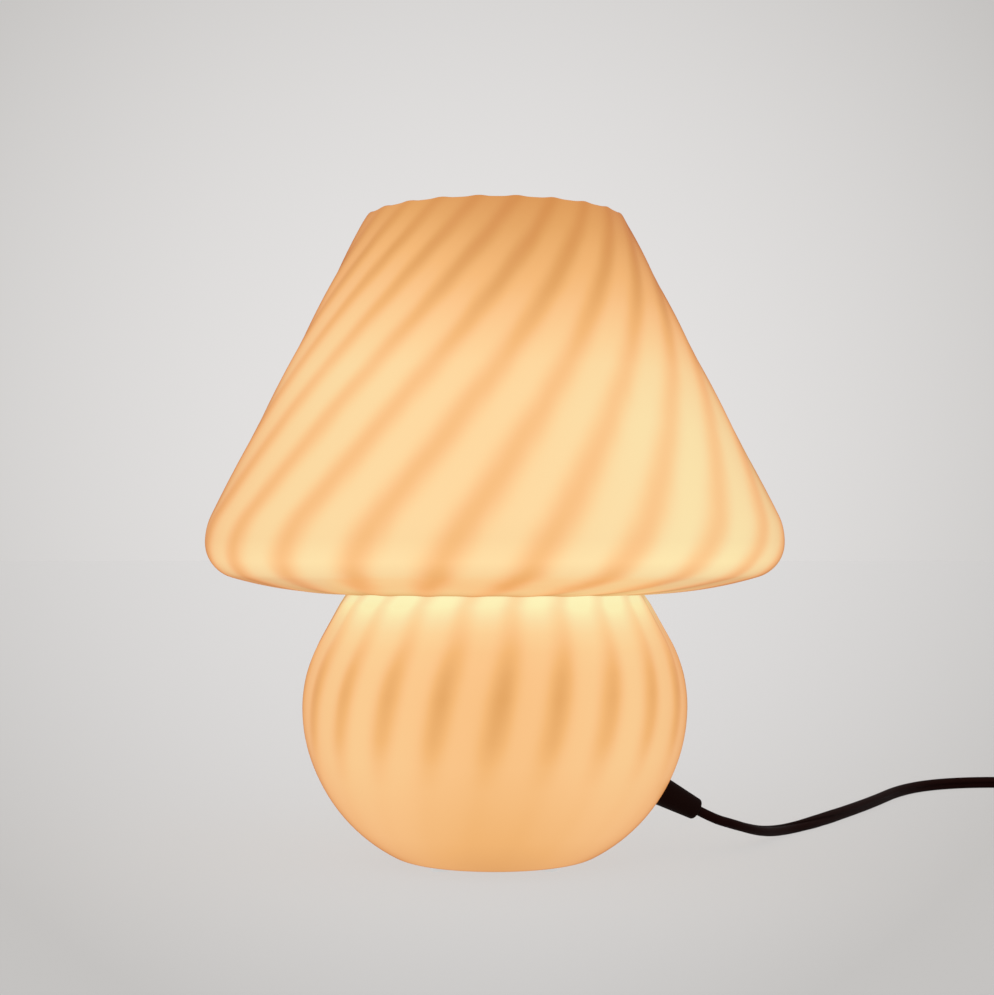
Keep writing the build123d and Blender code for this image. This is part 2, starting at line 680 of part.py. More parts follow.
def make_flex_grip():
    """The saddle inside the cap that holds the flex against a pull."""
    inner = HOLDER_RADIUS - HOLDER_WALL
    far = inner - 3.5
    low = HOLDER_FOOT + HOLDER_CAP_FLOOR
    half, top = GRIP_WIDTH / 2, ENTRY_Z + FLEX_DIAMETER * 0.8
    saddle = box((far - GRIP_LENGTH, -half, low), (far, half, top))
    hole = rod(FLEX_RADIUS + FLEX_FIT, (far - GRIP_LENGTH - 1, 0, ENTRY_Z), (far + 1, 0, ENTRY_Z))
    return holder_turned(saddle - hole)


def make_inner_flex():
    """The flex through the strain relief and the globe, as far as the grip in the cap."""
    frame = exit_plane()
    tip = Vector(*(frame.origin + frame.z_dir * (RELIEF_LENGTH + FLEX_FIT)))
    inside = Vector(*(frame.origin - frame.z_dir * INSIDE_RUN))
    radii = (HOLDER_RADIUS + FLEX_DIAMETER, flex_end_radius())
    across = [Vector(*polar((0, 0), radius, EXIT_AZIMUTH), ENTRY_Z) for radius in radii]
    points = [tip, inside, *across]
    return tube_along(FilletPolyline(*points, radius=route_radii(points)), FLEX_RADIUS)


def flex_end_radius():
    """How near the axis the flex's sheath ends, just past the grip."""
    return HOLDER_RADIUS - HOLDER_WALL - 3.5 - GRIP_LENGTH - 1.0


def make_inner_cores():
    """The two insulated conductors from the end of the sheath to the terminals."""
    x, z, sides = terminal_blocks()
    start, end = flex_end_radius(), x + TERMINAL_SIZE
    cores = []
    for y in sides:
        near = math.copysign(CORE_SPREAD, y)
        lift = z + TERMINAL_SIZE / 2
        path = FilletPolyline(
            (start, near, ENTRY_Z),
            (start - 2.4, near, ENTRY_Z),
            (end + 2.6, y, lift),
            (end, y, lift),
            radius=1.6,
        )
        cores.append(holder_turned(tube_along(path, CORE_RADIUS)))
    return cores


# ---------------------------------------------------------------- bulb


def bulb_z(height):
    return BULB_FOOT + height


def make_bulb_contact():
    """The bulb's centre contact, a disc with a rounded tip."""
    return turned_polygon(
        (0, bulb_z(0)),
        (EYELET_RADIUS - 1.2, bulb_z(0)),
        (EYELET_RADIUS, bulb_z(0.8)),
        (EYELET_RADIUS, bulb_z(EYELET_HEIGHT)),
        (0, bulb_z(EYELET_HEIGHT)),
    )


def make_bulb_insulator():
    """The dark glass cone between the centre contact and the screw cap."""
    seat = FIXING_CLEARANCE
    return turned_polygon(
        (0, bulb_z(EYELET_HEIGHT + seat)),
        (EYELET_RADIUS + 0.6, bulb_z(EYELET_HEIGHT + seat)),
        (CAP_FOOT_RADIUS - 1, bulb_z(INSULATOR_HEIGHT)),
        (0, bulb_z(INSULATOR_HEIGHT)),
    )


def make_bulb_screw_cap():
    """The threaded metal cap of the bulb, a thin cup over its insulating core."""
    low, high = bulb_z(INSULATOR_HEIGHT), bulb_z(BULB_HOUSING_FOOT)
    thread_low = low + THREAD_MARGIN
    thread_high = thread_low + CAP_THREAD_LENGTH
    bore = CAP_CORE_RADIUS - CAP_WALL - 1.4
    cup = turned_polygon(
        (0, low),
        (CAP_FOOT_RADIUS, low),
        (CAP_CORE_RADIUS, low + 1),
        (CAP_CORE_RADIUS, thread_high + 1.6),
        (CAP_SLEEVE_RADIUS, thread_high + 2.6),
        (CAP_SLEEVE_RADIUS, high),
        (bore, high),
        (bore, low + CAP_WALL * 2),
        (0, low + CAP_WALL * 2),
    )
    turns = CAP_THREAD_LENGTH / THREAD_PITCH
    ridge = thread_ridge(CAP_RIDGE_CENTRE, CAP_RIDGE_RADIUS, thread_low, turns, cap_phase(thread_low))
    bored = ridge.solid().cut(rod(bore, (0, 0, low), (0, 0, high)).solid())
    return cup.fuse(bored.solid())


def cap_phase(cap_low):
    """How far the cap's ridge starts round, so that it lies midway between the shell's turns."""
    shell_low = INSERT_TOP + SHELL_FLOOR + THREAD_MARGIN
    return 360 * ((cap_low - shell_low) / THREAD_PITCH - 0.5)


def make_bulb_housing():
    """The white plastic body between the cap and the dome."""
    low, high = bulb_z(BULB_HOUSING_FOOT), bulb_z(BULB_JOINT_HEIGHT)
    foot, top, wall = BULB_HOUSING_FOOT_RADIUS, BULB_JOINT_RADIUS, BULB_WALL
    outer = ThreePointArc((foot, low), (foot + (top - foot) * 0.36, (low + high) / 2), (top, high))
    inner = ThreePointArc(
        (foot - wall, low + wall),
        (foot - wall + (top - foot) * 0.36, (low + high) / 2),
        (top - wall, high),
    )
    return turned(
        Line((0, low), (foot, low)),
        outer,
        Line((top, high), (top - wall, high)),
        inner,
        Line((foot - wall, low + wall), (0, low + wall)),
        Line((0, low + wall), (0, low)),
    )


def make_bulb_dome():
    """The frosted dome of the bulb, on the housing's rim."""
    low, middle, high = (bulb_z(h) for h in (BULB_JOINT_HEIGHT, BULB_EQUATOR_HEIGHT, BULB_LENGTH))
    centre, wall = (0, middle), BULB_WALL
    step, drop = BULB_RADIUS - BULB_JOINT_RADIUS, middle - low
    skirt = (step**2 + drop**2) / (2 * step)
    lean = math.degrees(math.asin(drop / skirt))
    return turned(
        Line((BULB_JOINT_RADIUS - wall, low), (BULB_JOINT_RADIUS, low)),
        CenterArc((BULB_RADIUS - skirt, middle), skirt, -lean, lean),
        CenterArc(centre, BULB_RADIUS, 0, 90),
        Line((0, high), (0, high - wall)),
        CenterArc(centre, BULB_RADIUS - wall, 0, 90),
        CenterArc((BULB_RADIUS - wall - skirt, middle), skirt, -lean, lean),
    )


def make_bulb_electronics():
    """The lamp board with its light-emitting chips, and the driver board under it."""
    high = bulb_z(BULB_JOINT_HEIGHT)
    board_low = high - BOARD_THICKNESS
    radius = BULB_JOINT_RADIUS - BULB_WALL - BOARD_INSET
    save("bulb_led_board", rod(radius, (0, 0, board_low), (0, 0, high)))
    chips = []
    for i in range(LED_COUNT):
        half = LED_SIZE / 2
        chip = box((LED_CIRCLE - half, -half, high), (LED_CIRCLE + half, half, high + LED_THICKNESS))
        chips.append(Rot(0, 0, 360 * i / LED_COUNT) * chip)
    save("bulb_led_chips", *chips)
    half = DRIVER_WIDTH / 2
    driver_low = board_low - DRIVER_HEIGHT
    board = box((-half, -BOARD_THICKNESS / 2, driver_low), (half, BOARD_THICKNESS / 2, board_low))
    middle = driver_low + DRIVER_HEIGHT / 2
    choke = rod(CHOKE_RADIUS, (0, 0, middle), (0, CHOKE_REACH, middle))
    save("bulb_driver_board", board + choke)


# ---------------------------------------------------------------- strain relief


def make_strain_relief():
    """The tapered black sleeve seated on the glass, with a neck through it and a collar inside."""
    bore = FLEX_RADIUS + FLEX_FIT
    collar_top = -(GLASS_WALL + COLLAR_SEAT_GAP)
    neck_end = collar_top - COLLAR_THICKNESS
    shoulder = RELIEF_LENGTH - RELIEF_TIP_ROUND
    inner_tip = RELIEF_TIP_RADIUS - RELIEF_TIP_ROUND
    sleeve = turned(
        Line((bore, -GLASS_WALL / 2), (RELIEF_FOOT_RADIUS, -GLASS_WALL / 2)),
        Line((RELIEF_FOOT_RADIUS, -GLASS_WALL / 2), (RELIEF_FOOT_RADIUS, 0)),
        Line((RELIEF_FOOT_RADIUS, 0), (RELIEF_TIP_RADIUS, shoulder)),
        CenterArc((inner_tip, shoulder), RELIEF_TIP_ROUND, 0, 90),
        Line((inner_tip, RELIEF_LENGTH), (bore, RELIEF_LENGTH)),
        Line((bore, RELIEF_LENGTH), (bore, -GLASS_WALL / 2)),
    )
    neck = ring(RELIEF_NECK_RADIUS, bore, neck_end, GLASS_WALL / 2)
    frame = exit_plane()
    sleeve = (frame * sleeve).cut(globe_ball(RELIEF_SEAT_GAP)).solid()
    collar = ring(COLLAR_RADIUS, RELIEF_NECK_RADIUS + FLEX_FIT, neck_end, collar_top)
    save("strain_relief", sleeve.fuse(frame * neck))
    save("relief_collar", frame * collar)


# ---------------------------------------------------------------- switch on the flex


def switch_placed(part):
    """A piece of the switch, from its own frame along +X to its place on the table."""
    return Pos(SWITCH_X, SWITCH_CENTRE_Y, 0) * Rot(0, 0, -90) * part


def switch_prism(inset, low, high):
    """The switch's rounded outline, drawn in by a wall, between two heights."""
    outline = RectangleRounded(
        SWITCH_LENGTH - 2 * inset, SWITCH_WIDTH - 2 * inset, SWITCH_CORNER - inset
    )
    return Pos(0, 0, low) * extrude(outline, high - low)


def switch_flex_bore():
    half = SWITCH_LENGTH / 2 + 1
    return rod(FLEX_RADIUS + FLEX_FIT, (-half, 0, SWITCH_FLEX_Z), (half, 0, SWITCH_FLEX_Z))


def switch_screw_places():
    return [(-SWITCH_SCREW_X, SWITCH_SCREW_Y), (SWITCH_SCREW_X, -SWITCH_SCREW_Y)]


def clamp_post_places():
    aside = FLEX_RADIUS + CLAMP_POST_GAP + CLAMP_POST_WIDTH / 2
    return [(side * CLAMP_X, lean * aside) for side in (-1, 1) for lean in (-1, 1)]


def make_switch_lower_shell():
    """The lower half of the switch, with screw bosses and the posts of the flex clamps."""
    split = SWITCH_SPLIT_HEIGHT
    outer = switch_prism(0, 0, split)
    outer = fillet(outer.faces().sort_by(Axis.Z)[0].edges(), SWITCH_FOOT_ROUND)
    shell = outer - switch_prism(SWITCH_WALL, SWITCH_WALL, split + 1)
    for x, y in switch_screw_places():
        shell += rod(SWITCH_BOSS_RADIUS, (x, y, SWITCH_WALL / 2), (x, y, split))
    for x, y in clamp_post_places():
        half_x, half_y = CLAMP_LENGTH / 2, CLAMP_POST_WIDTH / 2
        shell += box((x - half_x, y - half_y, SWITCH_WALL / 2), (x + half_x, y + half_y, clamp_height()))
    for x, y in switch_screw_places():
        shell -= rod(SWITCH_SCREW_RADIUS + 0.15, (x, y, -1), (x, y, split + 1))
        shell -= rod(SWITCH_SCREW_HEAD + 0.2, (x, y, -1), (x, y, SWITCH_SCREW_HEAD_HEIGHT + 0.2))
    return switch_placed(shell - switch_flex_bore())


def clamp_height():
    """How high the clamp bars sit, just on the flex."""
    return SWITCH_FLEX_Z + FLEX_RADIUS + FLEX_FIT


def make_switch_upper_shell():
    """The upper half, with the rocker's window and the cheeks that carry its pivots."""
    split, top = SWITCH_SPLIT_HEIGHT, SWITCH_HEIGHT
    outer = switch_prism(0, split, top)
    outer = fillet(outer.faces().sort_by(Axis.Z)[-1].edges(), SWITCH_TOP_ROUND)
    shell = outer - switch_prism(SWITCH_WALL, split - 1, top - SWITCH_WALL)
    window_x = ROCKER_HALF_LENGTH + ROCKER_END_GAP
    window_y = ROCKER_WIDTH / 2 + ROCKER_SIDE_GAP
    for side in (-1, 1):
        near, far = sorted((side * window_y, side * (window_y + CHEEK_THICKNESS)))
        low = PIVOT_Z - PIVOT_RADIUS - 1.5
        shell += box((-CHEEK_HALF_LENGTH, near, low), (CHEEK_HALF_LENGTH, far, top - SWITCH_WALL / 2))
    for x, y in switch_screw_places():
        shell += rod(SWITCH_BOSS_RADIUS, (x, y, split), (x, y, top - SWITCH_WALL / 2))
        screw_end = (x, y, top - 2 * SWITCH_WALL)
        shell -= rod(SWITCH_SCREW_RADIUS + FIXING_CLEARANCE, (x, y, split - 1), screw_end)
    shell -= box((-window_x, -window_y, split), (window_x, window_y, top + 1))
    reach = ROCKER_WIDTH / 2 + PIVOT_LENGTH + 0.2
    shell -= rod(PIVOT_RADIUS + PIVOT_CLEARANCE, (0, -reach, PIVOT_Z), (0, reach, PIVOT_Z))
    return switch_placed(shell - switch_flex_bore())


def make_switch_rocker():
    """The rocker with its two pivot pins, pressed on at one end, and the bridge under it."""
    half, belly = ROCKER_HALF_LENGTH, -ROCKER_BELLY
    side = make_face(
        Polyline(
            (-half, ROCKER_TIP_HEIGHT),
            (0, ROCKER_DIP_HEIGHT),
            (half, ROCKER_TIP_HEIGHT),
            (half - 0.6, 0),
            (half * 0.55, belly),
            (-half * 0.55, belly),
            (-half + 0.6, 0),
            close=True,
        )
    )
    rocker = extrude(Plane.XZ * side, ROCKER_WIDTH / 2, both=True)
    reach = ROCKER_WIDTH / 2 + PIVOT_LENGTH
    rocker += rod(PIVOT_RADIUS, (0, -reach, 0), (0, reach, 0))
    plate = box((-half * 0.5, -2, belly - 0.5), (half * 0.5, 2, belly))
    tilt = Pos(0, 0, PIVOT_Z) * Rot(0, ROCKER_TILT, 0)
    save("switch_rocker", switch_placed(tilt * rocker))
    save("switch_bridge", switch_placed(tilt * plate))


def make_switch_inside():
    """Contacts, conductors, flex clamps and screws inside the switch."""
    floor = SWITCH_WALL
    foot, half, reach = floor + CONTACT_FOOT_HEIGHT, CONTACT_POST_WIDTH / 2, CONTACT_POST_REACH
    pressed = box((2.2, -half, floor), (5.2, half, CONTACT_POST_TOP))
    pressed += box((5.0, -half, floor), (reach, half, foot))
    middle = box((-1.8, -half, floor), (0.6, half, CONTACT_POST_TOP + 0.6))
    middle += box((-reach, -half, floor), (-1.6, half, foot))
    save("switch_contacts", switch_placed(pressed), switch_placed(middle))
    end = SWITCH_FLEX_END - FLEX_FIT
    live_z, aside, core = floor + 2.2, 4.6, CORE_RADIUS
    cores = []
    for side in (-1, 1):
        path = FilletPolyline(
            (side * end, CORE_SPREAD, SWITCH_FLEX_Z),
            (side * (end - 2.2), CORE_SPREAD, SWITCH_FLEX_Z),
            (side * (CONTACT_POST_REACH + 1.7), CORE_SPREAD, live_z),
            (side * (CONTACT_POST_REACH + FLEX_FIT), CORE_SPREAD, live_z),
            radius=1.1,
        )
        cores.append(tube_along(path, core))
    neutral = FilletPolyline(
        (-end, -CORE_SPREAD, SWITCH_FLEX_Z),
        (-end + 2.5, -CORE_SPREAD, SWITCH_FLEX_Z),
        (-8.0, -aside, live_z),
        (8.0, -aside, live_z),
        (end - 2.5, -CORE_SPREAD, SWITCH_FLEX_Z),
        (end, -CORE_SPREAD, SWITCH_FLEX_Z),
        radius=2.0,
    )
    save("switch_cores", *[switch_placed(wire) for wire in [*cores, tube_along(neutral, core)]])
    bars, half = [], FLEX_RADIUS + CLAMP_POST_GAP + CLAMP_POST_WIDTH
    for side in (-1, 1):
        x, low = side * CLAMP_X, clamp_height()
        along = CLAMP_LENGTH / 2
        bars.append(box((x - along, -half, low), (x + along, half, low + CLAMP_THICKNESS)))
    save("switch_flex_clamps", *[switch_placed(bar) for bar in bars])
    screws = []
    for x, y in switch_screw_places():
        head_top = SWITCH_SCREW_HEAD_HEIGHT + 0.2
        head = rod(SWITCH_SCREW_HEAD, (x, y, 0.2), (x, y, head_top))
        shank = rod(SWITCH_SCREW_RADIUS, (x, y, head_top), (x, y, SWITCH_HEIGHT - 2 * SWITCH_WALL - 0.5))
        slot = box((x - SWITCH_SCREW_HEAD, y - 0.3, 0), (x + SWITCH_SCREW_HEAD, y + 0.3, 0.9))
        screws.append(switch_placed(head + shank - slot))
    save("switch_screws", *screws)


# ---------------------------------------------------------------- flex on the table


def route_radii(points):
    """The largest arc that each corner of a route allows."""
    radii = []
    for a, b, c in zip(points, points[1:], points[2:]):
        before, after = b - a, c - b
        half_turn = math.radians(before.get_angle(after) / 2)
        radii.append(ROUTE_SHARE * min(before.length, after.length) / math.tan(half_turn))
    return radii


def flex_stretch(node, points):
    """A free stretch of flex: straight runs joined by tangent arcs, with its length printed."""
    points = [Vector(*p) for p in points]
    radii = route_radii(points)
    path = FilletPolyline(*points, radius=radii)
    solid = tube_along(path, FLEX_RADIUS)
    section = math.pi * FLEX_RADIUS**2
    print(node, "radii", [round(r, 1) for r in radii], "length", round(path.length, 1))
    print(node, "volume over section times length", round(solid.volume / (section * path.length), 5))
    save(node, solid)
    return path.length


def coil_path():
    """The coil's middle line: it spirals in, climbs a layer in half a turn, and spirals out."""
    centre = (SWITCH_X + COIL_OUTER_RADIUS, COIL_CENTRE_Y)
    low = coil_layer_height(0)
    high = coil_layer_height(1)
    step = COIL_SPACING / 2
    edges = []

    def half_turn(start, side, width, height):
        """A level half turn from one side of the coil to the other."""
        end = Vector(start.X - side * width, start.Y, height)
        edges.append(TangentArc(start, end, tangent=(0, side, 0)))
        return end

    at = Vector(centre[0] - COIL_OUTER_RADIUS, centre[1], low)
    lead_in = Vector(at.X, at.Y + FLEX_DIAMETER, low)
    edges.append(Line(lead_in, at))
    side, reach = -1, COIL_OUTER_RADIUS
    for _ in range(COIL_HALF_TURNS):
        at = half_turn(at, side, 2 * reach - step, low)
        side, reach = -side, reach - step
    width = 2 * reach - step
    rise = high - low
    tangent = math.hypot(width, rise) / 2
    end = Vector(at.X - side * width, at.Y, high)
    joint = Vector((at.X + end.X) / 2, at.Y + side * tangent, (low + high) / 2)
    edges.append(TangentArc(at, joint, tangent=(0, side, 0)))
    edges.append(TangentArc(joint, end, tangent=(end - at).normalized()))
    at, side, reach = end, -side, width - reach
    for i in range(COIL_HALF_TURNS):
        grow = 2 * step if i == 0 else step
        at = half_turn(at, side, 2 * reach + grow, high)
        side, reach = -side, reach + grow
    lead_out = Vector(at.X, at.Y + side * FLEX_DIAMETER, high)
    edges.append(Line(at, lead_out))
    return Wire(edges), lead_in, lead_out


def coil_layer_height(layer):
    """Height of the middle of a layer: the lowest turn rests on the tie."""
    return TIE_THICKNESS + TIE_GAP / 2 + FLEX_RADIUS + layer * COIL_SPACING


def least_self_gap(path, steps=900):
    """The least gap between turns, on points along the path."""
    points = [path.position_at(i / steps) for i in range(steps + 1)]
    apart = path.length / steps
    skip = int(3 * FLEX_DIAMETER / apart)
    best = path.length
    for i in range(0, steps + 1):
        for j in range(i + skip, steps + 1):
            best = min(best, (points[i] - points[j]).length)
    return best - FLEX_DIAMETER


def make_coil():
    path, lead_in, lead_out = coil_path()
    solid = tube_along(path, FLEX_RADIUS)
    section = math.pi * FLEX_RADIUS**2
    gap = round(least_self_gap(path), 2)
    print("flex_coil length", round(path.length, 1), "least gap to itself", gap)
    print("flex_coil volume over section times length", round(solid.volume / (section * path.length), 5))
    save("flex_coil", solid)
    return path.length, lead_in, lead_out


def make_coil_tie():
    """A flat strap round all the turns at the back of the coil."""
    centre_x = SWITCH_X + COIL_OUTER_RADIUS
    inner_turn = COIL_OUTER_RADIUS - (COIL_HALF_TURNS + 1) / 2 * COIL_SPACING
    near = COIL_CENTRE_Y - COIL_OUTER_RADIUS - FLEX_RADIUS - 2 * TIE_GAP
    far = COIL_CENTRE_Y - inner_turn + FLEX_RADIUS + 2 * TIE_GAP
    low, high = TIE_THICKNESS, coil_layer_height(1) + FLEX_RADIUS + TIE_GAP
    half = TIE_WIDTH / 2
    hollow = Plane.YZ * Pos((near + far) / 2, (low + high) / 2) * RectangleRounded(
        far - near, high - low, FLEX_RADIUS - TIE_THICKNESS
    )
    outside = Plane.YZ * Pos((near + far) / 2, (low + high) / 2) * RectangleRounded(
        far - near + 2 * TIE_THICKNESS, high - low + 2 * TIE_THICKNESS, FLEX_RADIUS
    )
    strap = extrude(outside, half, both=True) - extrude(hollow, half + 1, both=True)
    tab = box((-half, near - TIE_THICKNESS * 2, low + 1), (half, near - TIE_THICKNESS, low + 9))
    return Pos(centre_x, 0, 0) * (strap + tab)


# ---------------------------------------------------------------- plug


def plug_placed(part):
    """A piece of the plug, from its own frame with the pins along +X to its place."""
    front = PLUG_CORD_Y + PLUG_BOOT_LENGTH + PLUG_LENGTH
    return Pos(PLUG_X, front, PLUG_HEIGHT / 2) * Rot(0, 0, 90) * part


def plug_section(x, width, height, corner):
    across = Plane(origin=(x, 0, 0), x_dir=(0, 1, 0), z_dir=(1, 0, 0))
    return across * RectangleRounded(width, height, corner)


def make_plug():
    """The moulded body with its ribbed sleeve, the two pins and their insulating sleeves."""
    front = loft(
        [
            plug_section(0, PLUG_WIDTH, PLUG_HEIGHT, 3),
            plug_section(-PLUG_SHOULDER, PLUG_WIDTH, PLUG_HEIGHT, 3),
        ]
    )
    taper = loft(
        [
            plug_section(-PLUG_SHOULDER, PLUG_WIDTH, PLUG_HEIGHT, 3),
            plug_section(-PLUG_LENGTH, PLUG_TAIL_WIDTH, PLUG_TAIL_HEIGHT, 3),
        ]
    )
    boot_tip = -PLUG_LENGTH - PLUG_BOOT_LENGTH
    boot = Plane(origin=(boot_tip, 0, 0), z_dir=(1, 0, 0)) * Cone(
        PLUG_BOOT_TIP_RADIUS,
        PLUG_TAIL_HEIGHT / 2 - 0.4,
        PLUG_BOOT_LENGTH + 1,
        align=(Align.CENTER, Align.CENTER, Align.MIN),
    )
    body = front + taper + boot
    body -= rod(FLEX_RADIUS + FLEX_FIT, (boot_tip - 1, 0, 0), (boot_tip + FLEX_DIAMETER, 0, 0))
    pins, sleeves = [], []
    for y in (-PIN_SPACING / 2, PIN_SPACING / 2):
        hole = PIN_NECK_RADIUS + FIXING_CLEARANCE
        body -= rod(hole, (-PIN_ROOT, y, 0), (1, y, 0))
        neck = rod(PIN_NECK_RADIUS, (-PIN_ROOT, y, 0), (PIN_SLEEVE_LENGTH, y, 0))
        tip = rod(PIN_RADIUS, (PIN_SLEEVE_LENGTH, y, 0), (PIN_LENGTH, y, 0))
        tip = fillet(tip.edges().sort_by(Axis.X)[-1], PIN_RADIUS * 0.7)
        sleeve_end = PIN_SLEEVE_LENGTH - FIXING_CLEARANCE
        sleeve = rod(PIN_RADIUS - FIXING_CLEARANCE, (FIXING_CLEARANCE, y, 0), (sleeve_end, y, 0))
        pins.append(plug_placed(neck + tip))
        sleeves.append(plug_placed(sleeve - rod(hole, (0, y, 0), (PIN_SLEEVE_LENGTH, y, 0))))
    save("plug_body", plug_placed(body))
    save("plug_pins", *pins)
    save("plug_pin_sleeves", *sleeves)
    return boot_tip + FLEX_DIAMETER


# ---------------------------------------------------------------- the whole lamp


def build():
    os.makedirs("parts", exist_ok=True)
    save("glass_body", make_glass())
    save("foot_pads", *make_foot_pads())
    make_fixings()
    save("holder_cap", make_holder_cap())
    save("holder_shell", make_holder_shell())
    save("holder_insert", make_insert())
    save("screw_shell", make_screw_shell())
    save("centre_contact", make_centre_contact())
    make_terminals()
    save("flex_grip", make_flex_grip())
    save("inner_flex", make_inner_flex())
    save("inner_cores", *make_inner_cores())
    save("bulb_contact", make_bulb_contact())
    save("bulb_insulator", make_bulb_insulator())
    save("bulb_screw_cap", make_bulb_screw_cap())
    save("bulb_housing", make_bulb_housing())
    save("bulb_dome", make_bulb_dome())
    make_bulb_electronics()
    make_strain_relief()
    save("switch_lower_shell", make_switch_lower_shell())
    save("switch_upper_shell", make_switch_upper_shell())
    make_switch_rocker()
    make_switch_inside()
    make_flex_on_table()


def make_flex_on_table():
    """The flex from the strain relief through the switch and the coil to the plug."""
    frame = exit_plane()
    tip = frame.origin + frame.z_dir * (RELIEF_LENGTH + 2 * FLEX_FIT)
    drop = tip + frame.z_dir * FIRST_RUN
    switch_in = SWITCH_CENTRE_Y + SWITCH_FLEX_END
    switch_out = SWITCH_CENTRE_Y - SWITCH_FLEX_END
    outside = SWITCH_LENGTH / 2 + 2 * FLEX_DIAMETER
    at_switch = (SWITCH_X, SWITCH_CENTRE_Y + outside, SWITCH_FLEX_Z)
    from_switch = (SWITCH_X, SWITCH_CENTRE_Y - outside, SWITCH_FLEX_Z)
    total = flex_stretch(
        "flex_lead", [tip, drop, *LEAD_ROUTE, at_switch, (SWITCH_X, switch_in, SWITCH_FLEX_Z)]
    )
    coil_length, lead_in, lead_out = make_coil()
    save("coil_tie", make_coil_tie())
    before_coil = Vector(lead_in.X, lead_in.Y + 2 * FLEX_DIAMETER, lead_in.Z)
    total += flex_stretch(
        "flex_link",
        [(SWITCH_X, switch_out, SWITCH_FLEX_Z), from_switch, *LINK_ROUTE, before_coil, lead_in],
    )
    after_coil = Vector(lead_out.X, lead_out.Y + 2 * FLEX_DIAMETER, lead_out.Z)
    make_plug()
    plug_z = PLUG_HEIGHT / 2
    total += flex_stretch(
        "flex_tail",
        [
            lead_out,
            after_coil,
            *TAIL_ROUTE,
            (PLUG_X, PLUG_CORD_Y - FLEX_DIAMETER, plug_z),
            (PLUG_X, PLUG_CORD_Y + FLEX_DIAMETER, plug_z),
        ],
    )
    print("flex from strain relief to plug", round(total + coil_length + 2 * SWITCH_FLEX_END, 1))


build()
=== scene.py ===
"""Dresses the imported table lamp: a globe, a neck and a conical shade blown as one piece of
swirl-ribbed opal glass, lit warm from inside, with its lampholder, bulb and flat black flex.

Frame: metres, +Z up, origin on the table under the lamp's axis. The front is -Y, and the flex
leaves towards +X.
"""

import json
import logging
import math
from dataclasses import dataclass
from enum import Enum

import bmesh
import bpy
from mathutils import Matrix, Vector

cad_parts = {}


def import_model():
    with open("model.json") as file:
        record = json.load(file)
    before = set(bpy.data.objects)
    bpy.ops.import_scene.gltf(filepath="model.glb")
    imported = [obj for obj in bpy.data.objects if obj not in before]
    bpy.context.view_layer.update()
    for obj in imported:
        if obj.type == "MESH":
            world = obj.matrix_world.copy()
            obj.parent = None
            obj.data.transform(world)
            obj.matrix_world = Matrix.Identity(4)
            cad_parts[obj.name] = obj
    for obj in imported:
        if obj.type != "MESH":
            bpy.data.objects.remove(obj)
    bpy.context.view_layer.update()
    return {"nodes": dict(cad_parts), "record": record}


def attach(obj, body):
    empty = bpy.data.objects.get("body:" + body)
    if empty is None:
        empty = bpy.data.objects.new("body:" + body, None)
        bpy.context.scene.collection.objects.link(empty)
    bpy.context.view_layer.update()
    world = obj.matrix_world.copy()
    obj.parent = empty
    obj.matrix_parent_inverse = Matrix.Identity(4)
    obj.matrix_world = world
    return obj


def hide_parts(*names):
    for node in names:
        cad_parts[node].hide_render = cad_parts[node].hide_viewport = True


LOG = logging.getLogger("table_lamp")
MM = 0.001

# The glass's measures that its shape and its material share: its foot over the table and its rim
# over that foot, in millimetres, and its ribs.
FOOT_LIFT = 1.5
RIM_HEIGHT = 222.2
RIB_COUNT = 22

# The photograph's longer side in pixels, of which the camera's shifts are shares.
PHOTO_PIXELS = 995


class Body(Enum):
    """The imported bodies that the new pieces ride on."""

    LAMP = "lamp"


class Slot(Enum):
    """Names of the record's material slots for the glass and the flex."""

    GLASS = "opal_glass"
    FLEX = "brown_black_flex"


class Lie(Enum):
    """How the flat flex is turned about its own line, in radians from lying flat."""

    FLAT = 0.0
    EDGE = math.pi / 2


# ---------------------------------------------------------------- small helpers


def linear(colour: str) -> tuple[float, float, float, float]:
    """Turns a colour written as sRGB hex into linear light.

    Args:
        colour: Six hex digits, red, green, blue.

    Returns:
        Red, green, blue and an alpha of one.
    """
    shares = [int(colour[i : i + 2], 16) / 255 for i in (0, 2, 4)]
    light = [s / 12.92 if s <= 0.04045 else ((s + 0.055) / 1.055) ** 2.4 for s in shares]
    return light[0], light[1], light[2], 1.0


def add_node(
    tree: bpy.types.NodeTree, kind: str, inputs: dict | None = None, **settings
) -> bpy.types.Node:
    """Adds one node with its settings, values and links.

    Args:
        tree: The node tree that gets it.
        kind: Blender's name of the node type.
        inputs: Socket name or number to a value, or to the output socket to link from.
        **settings: Properties of the node itself.

    Returns:
        The new node.
    """
    node = tree.nodes.new(kind)
    for name, value in settings.items():
        setattr(node, name, value)
    for key, value in (inputs or {}).items():
        if isinstance(value, bpy.types.NodeSocket):
            tree.links.new(value, node.inputs[key])
        else:
            node.inputs[key].default_value = value
    return node


def new_material(name: str) -> tuple[bpy.types.Material, bpy.types.NodeTree]:
    """Makes an empty node material.

    Args:
        name: What the finish is.

    Returns:
        The material and its node tree.
    """
    material = bpy.data.materials.new(name)
    material.use_nodes = True
    material.node_tree.nodes.clear()
    return material, material.node_tree


def fill_ramp(ramp: bpy.types.ColorRamp, stops: list[tuple[float, tuple]]) -> None:
    """Gives a colour ramp its stops.

    Args:
        ramp: The ramp of a Color Ramp node.
        stops: Place from 0 to 1 and linear colour, in rising order.
    """
    while len(ramp.elements) > 1:
        ramp.elements.remove(ramp.elements[-1])
    ramp.elements[0].position, ramp.elements[0].color = stops[0]
    for place, colour in stops[1:]:
        ramp.elements.new(place).color = colour


